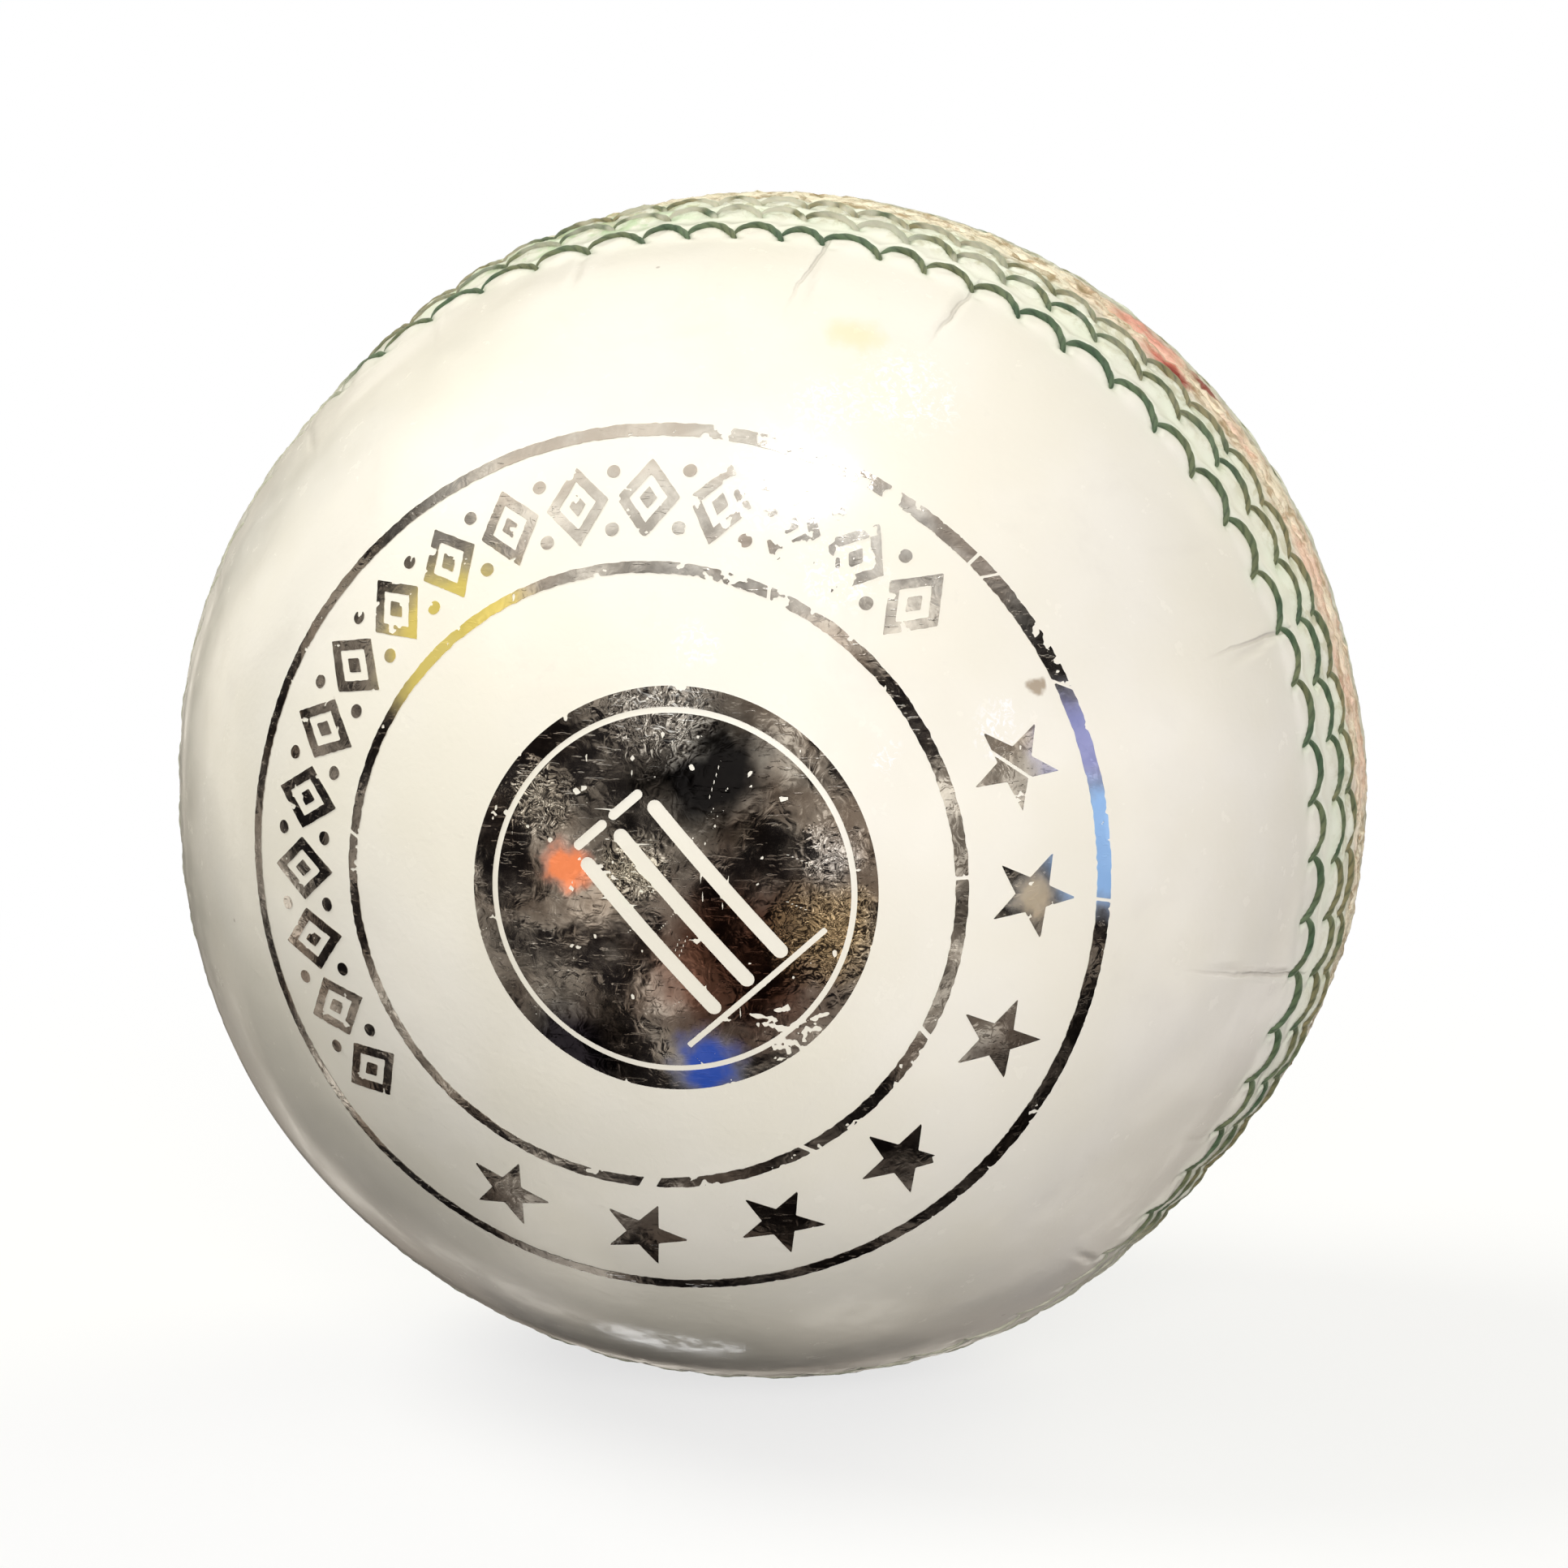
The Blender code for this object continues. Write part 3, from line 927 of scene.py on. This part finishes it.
# White patches of crazed lacquer, painted as highlights where the glare falls on them: (colatitude,
# longitude), size in mm
CRAZE_AND_GLARE_PATCHES = (
    ((40.0, 17.0), 3.6),
    ((54.4, 25.0), 3.4),
    ((49.0, 17.5), 2.4),
    ((22.8, 12.0), 1.5),
    ((25.1, 60.4), 1.0),
    ((35.5, 65.5), 1.6),
    ((34.0, 31.0), 2.4),
)


def paint_leather(look):
    # warm ivory, slightly uneven, cooler and greyer where it has been handled
    ivory = look.patches(size=14, edge=(0.35, 0.7), rough=0.55)
    look.colour = look.mix(ivory, (0.80, 0.765, 0.665), (0.83, 0.80, 0.725))
    handled = look.patches(
        size=7.5, edge=(0.56, 0.80), out=(0, 0.35), detail=4, rough=0.6, distort=0.6
    )
    look.paint((0.70, 0.665, 0.60), handled)
    scuffs = look.patches(size=2.2, edge=(0.62, 0.82), out=(0, 0.22), detail=5, rough=0.7)
    look.paint((0.60, 0.57, 0.53), scuffs)
    # dye drawn out of the thread, dirt, and painted shade beside the thread
    patchy = look.patches(size=3.2, edge=(0.25, 0.75), out=(0.35, 1.0))
    look.paint((0.82, 0.90, 0.71), look.attr("band"), patchy, share=0.52)
    look.paint((0.52, 0.68, 0.45), look.attr("dye_and_shade"), patchy, share=0.42)
    mottle = look.patches(size=1.3, edge=(0.47, 0.60), detail=5, rough=0.7, distort=0.5)
    look.paint((0.40, 0.37, 0.17), look.attr("dirt"), mottle, share=0.62)
    # painted shade: the leather darkened in the groove right beside each thread
    thread_groove_shade = look.ramp(look.attr("dye_and_shade"), edge=(0.55, 1.0), out=(0.0, 0.62))
    look.paint((0.20, 0.27, 0.15), thread_groove_shade)
    # the raw edge of the lip and its cracks, and painted shade in the creases
    bare = look.patches(size=0.8, edge=(0.25, 0.7), out=(0.45, 1.0), detail=4, rough=0.7)
    hide = look.patches(size=1.3, edge=(0.46, 0.60), detail=5, rough=0.7, distort=0.6)
    look.paint(look.mix(hide, (0.93, 0.83, 0.62), (0.48, 0.34, 0.19)), look.attr("raw"), bare)
    broken = look.patches(size=1.3, edge=(0.30, 0.65), out=(0.35, 0.95))
    look.paint((0.27, 0.22, 0.10), look.attr("crack"), broken)
    # painted shade along the bottom of each crease
    look.paint((0.42, 0.38, 0.31), look.attr("crease"), share=0.16)


def crease_lines(look):
    """A mask of the fine line at the bottom of each long crease."""
    smooth_skin = look.math("SUBTRACT", 1.0, look.attr("band"))
    lines = []
    for start, end in CREASE_LINES:
        a, b = Vector(on_ball(*start)), Vector(on_ball(*end))
        off = look.vec("DOT_PRODUCT", look.mm, tuple(a.cross(b).normalized()))
        off = look.math("ADD", off, look.wander(size=1.9, reach=0.5, detail=2))
        line = look.ramp(look.math("ABSOLUTE", off), edge=(0.03, 0.17), out=(1.0, 0.0))
        reach = (a - b).length
        travelled = look.vec("DISTANCE", look.mm, tuple(a))
        fade = look.ramp(travelled, edge=(reach * 0.35, reach), out=(1.0, 0.0))
        lines.append(look.product(line, fade))
    return look.product(look.fold("MAXIMUM", lines), smooth_skin)


def paint_stains(look):
    # specks of grit
    distance = look.cells(2.6).outputs["Distance"]
    speck = look.ramp(distance, edge=(0.035, 0.075), out=(1.0, 0.0))
    some = look.patches(size=5.0, edge=(0.60, 0.66), detail=2)
    look.paint((0.20, 0.13, 0.09), speck, some, share=0.6)
    # a pink smear along one side of the seam, a red streak, and dark flecks
    pink = look.spot((90, 62), edge=(14.0, 24.0))
    uneven = look.patches(size=4.0, edge=(0.40, 0.66), out=(0.15, 0.85), detail=4, rough=0.6)
    look.paint((0.90, 0.54, 0.42), pink, uneven, look.attr("lip"), share=0.72)
    streak = look.spot((93.5, 39.0), edge=(1.2, 3.6))
    uneven = look.patches(size=1.6, edge=(0.34, 0.50), rough=0.6)
    look.paint((0.86, 0.34, 0.27), streak, uneven, share=0.75)
    look.paint((0.62, 0.10, 0.07), look.spot((86.2, 42.6), edge=(0.6, 2.4)), share=0.85)
    for at in ((86.0, 43.8), (93.5, 46.6)):
        look.paint((0.25, 0.03, 0.02), look.spot(at, edge=(0.5, 1.5)), share=0.9)
    # green dye rubbed along the seam where it meets the top of the ball
    smear = look.spot((77.0, 341.0), edge=(5.0, 11.0))
    uneven = look.patches(size=1.5, edge=(0.42, 0.62), detail=4, rough=0.65)
    look.paint((0.38, 0.60, 0.27), smear, uneven, look.attr("band"), share=0.6)


def paint_front_marks(look):
    """A yellow spot, a dark fleck, and lacy white patches of crazed lacquer, painted as highlights
    where the glare falls on them.
    """
    look.paint((0.80, 0.66, 0.33), look.spot((58.5, 17), edge=(0.4, 2.2)), share=0.50)
    look.paint((0.40, 0.33, 0.25), look.spot((40.7, 62.9), edge=(0.05, 0.45)))
    lace = look.patches(size=0.55, edge=(0.50, 0.60), detail=4, rough=0.75, distort=1.2)
    blobs = [look.spot(at, edge=(size * 0.4, size * 1.2)) for at, size in CRAZE_AND_GLARE_PATCHES]
    # painted highlight: bluish-white lace over the crazed patches near the glare
    look.paint((0.93, 0.93, 0.97), look.fold("MAXIMUM", blobs), lace, share=0.75)


def leather_normal(look, fine):
    """Grain, wrinkles and rough places; fine is the mask of crease lines, if any."""
    grain = look.cells(0.42, "SMOOTH_F1").outputs["Distance"]
    lacquer = look.patches(size=2.6, edge=(0.35, 0.65), out=(0.35, 1.0), detail=4, rough=0.55)
    normal = look.bump(look.product(grain, lacquer), depth=0.020, strength=0.55)
    wrinkle = look.noise(size=0.9, detail=4, rough=0.6, distort=0.8)
    normal = look.bump(wrinkle, depth=0.045, strength=0.45, normal=normal)
    fibres = look.product(look.noise(size=0.35, rough=0.7), look.attr("raw"))
    normal = look.bump(fibres, depth=0.25, strength=0.8, normal=normal)
    crust = look.product(look.noise(size=0.9, detail=4, rough=0.65), look.attr("dirt"))
    normal = look.bump(crust, depth=0.22, strength=0.6, normal=normal)
    if fine is not None:
        cut = look.math("SUBTRACT", 1.0, fine)
        normal = look.bump(cut, depth=0.10, strength=0.7, normal=normal)
    return normal


def leather_material(name, cup):
    look = Look(name)
    paint_leather(look)
    fine = None
    if cup == FRONT:
        fine = crease_lines(look)
        # painted shade along the fine line at the bottom of each long crease
        look.paint((0.42, 0.37, 0.31), fine, share=0.34)
    paint_stains(look)
    if cup == FRONT:
        paint_front_marks(look)
    rough = look.patches(size=3.4, edge=(0.3, 0.75), out=(0.30, 0.46), detail=4, rough=0.6)
    raw_rough = look.product(look.attr("raw"), 0.35)
    raw_dull = look.product(look.attr("raw"), 0.25)
    coat_rough = look.patches(size=1.7, edge=(0.35, 0.75), out=(0.10, 0.30), detail=4, rough=0.65)
    coat = look.bump(look.noise(size=1.15, rough=0.6), depth=0.03, strength=0.5)
    lip = look.product(look.noise(size=0.5, rough=0.6), look.attr("lip"))
    return look.done(
        Normal=leather_normal(look, fine),
        Roughness=look.math("ADD", rough, raw_rough, clamp=True),
        IOR=1.48,
        Coat_Weight=look.math("SUBTRACT", 0.55, raw_dull),
        Coat_Roughness=coat_rough,
        Coat_IOR=1.5,
        Coat_Normal=look.bump(lip, depth=0.12, strength=0.7, normal=coat),
    )


def thread_material(name, olive):
    """Green thread; olive is how far it turns brown in patches."""
    look = Look(name)
    green = look.patches(size=2.0, edge=(0.35, 0.7))
    look.colour = look.mix(green, (0.044, 0.082, 0.044), (0.108, 0.152, 0.084))
    edge = (0.45 - 0.25 * olive, 0.7 - 0.15 * olive)
    # olive-brown patches, more of them in the outer rows
    worn = look.patches(size=4.5, edge=edge, out=(0.0, min(0.95, 0.35 + olive)), detail=2)
    look.paint((0.215, 0.185, 0.092), worn)
    # painted shade in the grooves between the plies
    ply = look.ramp(look.attr("ply"), edge=(0.05, 0.75))
    look.colour = look.mix(ply, look.mix(0.6, look.colour, (0.018, 0.030, 0.018)), look.colour)
    fluff = look.patches(size=0.22, edge=(0.58, 0.78), out=(0, 0.35), detail=4, rough=0.75)
    look.paint((0.24, 0.33, 0.20), fluff)
    # pale cream threads where the seam is pressed flat and in patches over the top
    look.paint((0.64, 0.62, 0.50), look.attr("thread_paling"), share=0.90)
    fibres = look.noise(size=0.12, detail=4, rough=0.7)
    return look.done(
        Roughness=look.patches(size=0.5, edge=(0.3, 0.7), out=(0.42, 0.68), detail=2),
        Normal=look.bump(fibres, depth=0.05, strength=0.8),
        Sheen_Weight=0.25,
        Sheen_Roughness=0.4,
        Sheen_Tint=(0.6, 0.8, 0.55),
    )


# Areas of the foil painted as reflections, dark, glinting or coloured: (colatitude, longitude),
# (full within, gone beyond) in mm, colour, and strength where it varies
FOIL_DARK_REFLECTIONS = (
    ((12.5, 29.5), (2.0, 5.4), (0.006, 0.006, 0.007), 0.99),
    ((16.9, 203.3), (1.8, 5.4), (0.008, 0.007, 0.012), 0.98),
    ((10.9, 125.0), (2.6, 7.4), (0.14, 0.062, 0.040), 0.95),
)
FOIL_CRINKLED_GLINTS = (
    ((12.2, 311.3), (0.2, 2.8), (0.95, 0.92, 0.82)),
    ((2.2, 349.3), (0.2, 2.4), (0.90, 0.87, 0.74)),
    ((16.6, 4.8), (0.8, 4.2), (0.86, 0.86, 0.84)),
    ((17.3, 101.6), (0.6, 4.0), (0.90, 0.70, 0.42)),
    ((17.5, 80.0), (0.2, 2.4), (0.90, 0.90, 0.92)),
)
FOIL_TINTED_REFLECTIONS = (
    ((28.5, -42), (3.0, 6.5), (0.78, 0.62, 0.12), 0.85),
    ((43.1, 72), (1.2, 4.5), (0.26, 0.29, 0.62), 0.85),
    ((43.1, 86), (2.2, 5.0), (0.30, 0.52, 0.88), 0.95),
    ((17.0, 159.7), (0.7, 2.7), (0.02, 0.08, 0.46), 0.95),
    ((6.7, 286.4), (0.8, 1.9), (0.95, 0.26, 0.09), 0.95),
    ((35.8, 91.7), (0.6, 1.7), (0.62, 0.50, 0.33), 0.75),
)


def foil_material(name):
    look = Look(name)
    tone = look.patches(size=2.8, edge=(0.32, 0.72), detail=4, rough=0.6, distort=0.5)
    look.colour = look.mix(tone, (0.30, 0.285, 0.265), (0.74, 0.72, 0.68))
    look.paint((0.30, 0.21, 0.15), look.patches(size=6.5, edge=(0.46, 0.66), out=(0.0, 0.50)))
    # painted reflections: darker towards the foot of the stamp, paler towards its head
    square = RADIUS * RADIUS
    foot = look.vec("DOT_PRODUCT", look.mm, on_ball(90, 160))
    head = look.vec("DOT_PRODUCT", look.mm, on_ball(90, 338))
    foot = look.ramp(foot, edge=(0.26 * square, 0.46 * square), out=(0.0, 0.72))
    look.paint((0.050, 0.040, 0.038), foot)
    head = look.ramp(head, edge=(0.36 * square, 0.62 * square), out=(0.0, 0.45))
    look.paint((0.74, 0.70, 0.62), head)
    # painted dark reflections
    for at, edge, colour, share in FOIL_DARK_REFLECTIONS:
        look.paint(colour, look.spot(at, edge), share=share)
    crinkled = []
    # painted pale glints where the foil is crinkled
    for at, edge, colour in FOIL_CRINKLED_GLINTS:
        crinkled.append(look.spot(at, edge))
        look.paint(colour, crinkled[-1], share=0.85)
    tinted = []
    # painted coloured reflections, where the foil is also less metallic
    for at, edge, colour, share in FOIL_TINTED_REFLECTIONS:
        tinted.append(look.product(look.spot(at, edge), share))
        look.paint(colour, tinted[-1])
    dull = look.product(look.fold("MAXIMUM", tinted), 0.85)

    normal = look.bump(look.noise(size=1.7, detail=2), depth=0.07, strength=0.5)
    folds = look.noise(size=0.8, detail=2, distort=1.0)
    crinkle = look.math("ADD", 0.10, look.fold("MAXIMUM", crinkled))
    normal = look.bump(look.product(folds, crinkle), depth=0.20, strength=0.8, normal=normal)
    stretched = look.vec("MULTIPLY", look.mm, (0.35, 1.0, 2.4))
    lines = look.patches(size=0.5, edge=(0.62, 0.68), detail=2, vector=stretched)
    return look.done(
        Metallic=look.math("SUBTRACT", 1.0, dull),
        Roughness=look.patches(
            size=1.6, edge=(0.3, 0.75), out=(0.05, 0.20), detail=5, rough=0.65
        ),
        Normal=look.bump(lines, depth=0.02, strength=0.5, normal=normal),
    )


def cork_material(name, lump, light, deep):
    """Lumps of cork about lump mm across, each between two colours."""
    look = Look(name)
    shade = look.node("SeparateColor", {0: look.cells(lump).outputs["Color"]}).outputs[0]
    look.colour = look.mix(shade, light, deep)
    pores = look.patches(size=0.5, edge=(0.55, 0.75), out=(0, 0.7), detail=4, rough=0.7)
    look.paint((0.12, 0.06, 0.03), pores)
    seams = look.cells(lump, "DISTANCE_TO_EDGE").outputs["Distance"]
    normal = look.bump(look.ramp(seams, edge=(0.0, 0.12)), depth=0.12, strength=0.6)
    grit = look.noise(size=0.25, detail=4, rough=0.7)
    return look.done(
        Roughness=look.patches(size=1.0, edge=(0.3, 0.7), out=(0.72, 0.95)),
        Normal=look.bump(grit, depth=0.06, strength=0.7, normal=normal),
    )


def yarn_material(name):
    look = Look(name)
    look.colour = look.mix(
        look.patches(size=6.0, edge=(0.3, 0.7)), (0.66, 0.58, 0.43), (0.50, 0.42, 0.29)
    )
    fluff = look.patches(size=0.3, edge=(0.5, 0.75), out=(0, 0.6), detail=4, rough=0.7)
    look.paint((0.78, 0.72, 0.58), fluff)
    # strands wound in three directions, with painted shade between them
    turns = None
    for way in ((0.0, 1.0, 0.25), (0.8, -0.3, 0.6), (-0.5, 0.2, 0.9)):
        across = look.vec("DOT_PRODUCT", look.mm, way)
        across = look.math("ADD", across, look.product(look.noise(size=5.0), 1.2))
        wave = look.math("ABSOLUTE", look.math("SINE", look.product(across, 3.6)))
        if turns is None:
            turns = wave
        else:
            turns = look.product(turns, look.ramp(wave, edge=(0.0, 0.5), out=(0.75, 1.0)))
    # painted shade in the grooves between the strands
    look.paint((0.22, 0.17, 0.11), look.ramp(turns, edge=(0.0, 0.5), out=(0.7, 0.0)))
    normal = look.bump(turns, depth=0.20, strength=0.7)
    fibres = look.noise(size=0.18, detail=4, rough=0.75)
    return look.done(
        Roughness=look.patches(size=0.6, edge=(0.3, 0.7), out=(0.80, 0.97), detail=2),
        Normal=look.bump(fibres, depth=0.08, strength=0.8, normal=normal),
        Sheen_Weight=0.5,
        Sheen_Roughness=0.5,
    )


def lining_material(name):
    look = Look(name)
    uneven = look.patches(size=3.5, edge=(0.3, 0.7), detail=4, rough=0.6)
    look.colour = look.mix(uneven, (0.60, 0.47, 0.32), (0.47, 0.35, 0.22))
    nap = look.patches(size=0.35, edge=(0.55, 0.8), out=(0, 0.5), detail=4, rough=0.75)
    look.paint((0.74, 0.63, 0.48), nap)
    grain = look.noise(size=0.28, detail=4, rough=0.7)
    return look.done(
        Roughness=look.patches(size=0.8, edge=(0.3, 0.7), out=(0.72, 0.92)),
        Normal=look.bump(grain, depth=0.10, strength=0.8),
    )


# ------------------------------------------------------------- put it together


def clad(obj, material):
    obj.data.materials.clear()
    obj.data.materials.append(material)


def finish(obj, material, stands_for=None):
    clad(obj, material)
    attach(obj, "root")
    if stands_for:
        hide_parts(stands_for)


for cup, side in ((FRONT, "front"), (BACK, "back")):
    leather_cup = cup_mesh(f"leather_cup_{side}", cup)
    leather = leather_material(f"white_leather_{side}", cup)
    finish(leather_cup, leather, f"cover_{side}")

threads = [thread_material(f"green_thread_{k}", olive) for k, olive in ((1, 0.1), (2, 0.35), (3, 0.85))]
front_to_back = ((0, FRONT), (1, FRONT), (2, FRONT), (2, BACK), (1, BACK), (0, BACK))
for number, (row, cup) in enumerate(front_to_back, 1):
    thread = thread_mesh(f"stitching_row_{number}", row, cup)
    finish(thread, threads[row], f"seam_stitch_row_{number}")

foil = foil_material("stamp_foil")
foil_pieces = [foil_ring(**ring) for ring in FOIL_RINGS]
foil_pieces += [foil_stars(), foil_border(), foil_roundel()]
for piece in foil_pieces:
    finish(piece, foil)

cork = cork_material("sheet_cork", lump=1.7, light=(0.52, 0.34, 0.19), deep=(0.30, 0.16, 0.08))
rubber = cork_material(
    "cork_rubber", lump=1.1, light=(0.20, 0.12, 0.08), deep=(0.07, 0.035, 0.025)
)
inside_looks = {
    "nucleus": rubber,
    "yarn": yarn_material("worsted_yarn"),
    "lining": lining_material("lining_leather"),
}
for name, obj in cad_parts.items():
    if not obj.hide_render:
        clad(obj, next((look for word, look in inside_looks.items() if word in name), cork))

# ------------------------------------------------------------------ the studio


def pale_floor():
    """White fading out from the ball for the camera; dark, and unseen in gloss, for the rest."""
    material = bpy.data.materials.new("pale_floor")
    material.use_nodes = True
    graph = Graph(material.node_tree)
    graph.tree.nodes.clear()
    path = graph.node("LightPath").outputs
    near = graph.node("BsdfDiffuse", {"Color": (0.86, 0.86, 0.85)}).outputs[0]
    far = graph.node("Emission", {"Color": (1.0, 1.0, 1.0)}).outputs[0]
    distance = graph.vec("LENGTH", graph.node("NewGeometry").outputs["Position"])
    fade = graph.ramp(distance, edge=(0.02, 0.17), out=(0.70, 1.0))
    seen = graph.mix_shader(fade, near, far)
    dark = graph.node("BsdfDiffuse", {"Color": (0.045, 0.041, 0.042)}).outputs[0]
    clear = graph.node("BsdfTransparent").outputs[0]
    bounce = graph.mix_shader(path["Is Glossy Ray"], dark, clear)
    surface = graph.mix_shader(path["Is Camera Ray"], bounce, seen)
    graph.node("OutputMaterial", {"Surface": surface})
    return material


def studio_floor():
    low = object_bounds()[0].z
    bpy.ops.mesh.primitive_circle_add(
        vertices=96, radius=6.0, fill_type="NGON", location=(0, 0, low)
    )
    floor = bpy.context.object
    floor.name = "studio_floor"
    floor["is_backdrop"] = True
    floor.data.materials.append(pale_floor())


def area_light(name, way, distance, size, watts, colour=(1, 1, 1), glossy=False):
    """A disk light facing the ball, seen either only in gloss or only in diffuse light."""
    data = bpy.data.lights.new(name, "AREA")
    data.shape, data.size, data.energy, data.color = "DISK", size, watts, colour
    obj = bpy.data.objects.new(name, data)
    bpy.context.scene.collection.objects.link(obj)
    way = Vector(way).normalized()
    obj.location = way * distance
    obj.rotation_mode = "QUATERNION"
    obj.rotation_quaternion = way.to_track_quat("Z", "Y")
    obj.visible_glossy = glossy
    obj.visible_diffuse = not glossy


def studio_lights():
    # the soft lights model the leather but don't show in the foil; two small ones do
    for name, way, size, watts, colour in (
        ("key", (0.25, -0.94, 0.235), 0.40, 6.7, (1.0, 0.985, 0.955)),
        ("left", (-0.66, -0.02, 0.75), 0.50, 5.1, (1.0, 0.99, 0.92)),
        ("right", (0.975, -0.05, 0.12), 0.50, 1.5, (0.96, 0.92, 1.08)),
        ("behind", (0.453, 0.785, 0.423), 0.50, 4.3, (1.0, 0.99, 0.74)),
    ):
        area_light(name, way, distance=0.80, size=size, watts=watts, colour=colour)
    area_light(
        "glare", way=(0.195, -0.343, 0.920), distance=0.62, size=0.17, watts=0.5, glossy=True
    )
    area_light(
        "sheen", way=(-0.25, 0.60, -0.76), distance=0.70, size=0.12, watts=0.13, glossy=True
    )


def studio_world():
    """White to the camera, a dim sky for light, and a patchy room for gloss to mirror."""
    world = bpy.data.worlds.new("studio")
    bpy.context.scene.world = world
    world.use_nodes = True
    graph = Graph(world.node_tree)
    graph.tree.nodes.clear()
    path = graph.node("LightPath").outputs
    way = graph.node("TexCoord").outputs["Generated"]
    up = graph.node("SeparateXYZ", {0: way}).outputs["Z"]
    lift = graph.ramp(up, edge=(-0.2, 0.9))
    sky = graph.mix(lift, (0.040, 0.036, 0.040), (0.120, 0.118, 0.112))
    room = graph.noise(size=1 / 3.2, detail=4.0, vector=way)
    patch = graph.ramp(room, edge=(0.47, 0.53))
    lamp = graph.ramp(room, edge=(0.575, 0.605))
    ceiling = graph.ramp(up, edge=(0.45, 0.95))
    gloss = graph.mix(patch, (0.020, 0.017, 0.017), (0.42, 0.36, 0.30))
    gloss = graph.mix(lamp, gloss, (1.35, 1.25, 1.10))
    gloss = graph.mix(ceiling, gloss, (1.25, 1.20, 1.12))
    unseen = graph.mix(path["Is Glossy Ray"], sky, gloss)
    shown = graph.mix(path["Is Camera Ray"], unseen, (1.0, 1.0, 1.0))
    background = graph.node("Background", {"Color": shown}).outputs[0]
    graph.node("OutputWorld", {"Surface": background})


def studio_camera():
    """A long lens ten radii away, a little to the right of the front and above it."""
    camera = bpy.data.cameras.new("camera")
    camera.sensor_width = 36.0
    camera.lens = 135.465839
    camera.shift_x, camera.shift_y = 0.0085403727, 0.0018633540
    camera.clip_start, camera.clip_end = 0.01, 50.0
    eye = bpy.data.objects.new("camera", camera)
    bpy.context.scene.collection.objects.link(eye)
    turn, rise = math.radians(11.9), math.radians(9.41)
    level = math.cos(rise)
    toward = Vector((math.sin(turn) * level, -math.cos(turn) * level, math.sin(rise)))
    eye.location = toward * RADIUS * MM * 10
    eye.rotation_mode = "QUATERNION"
    eye.rotation_quaternion = (-toward).to_track_quat("-Z", "Y")
    bpy.context.scene.camera = eye


studio_floor()
studio_lights()
studio_world()
view = bpy.context.scene.view_settings
view.view_transform = "Standard"
view.look = "None"
studio_camera()
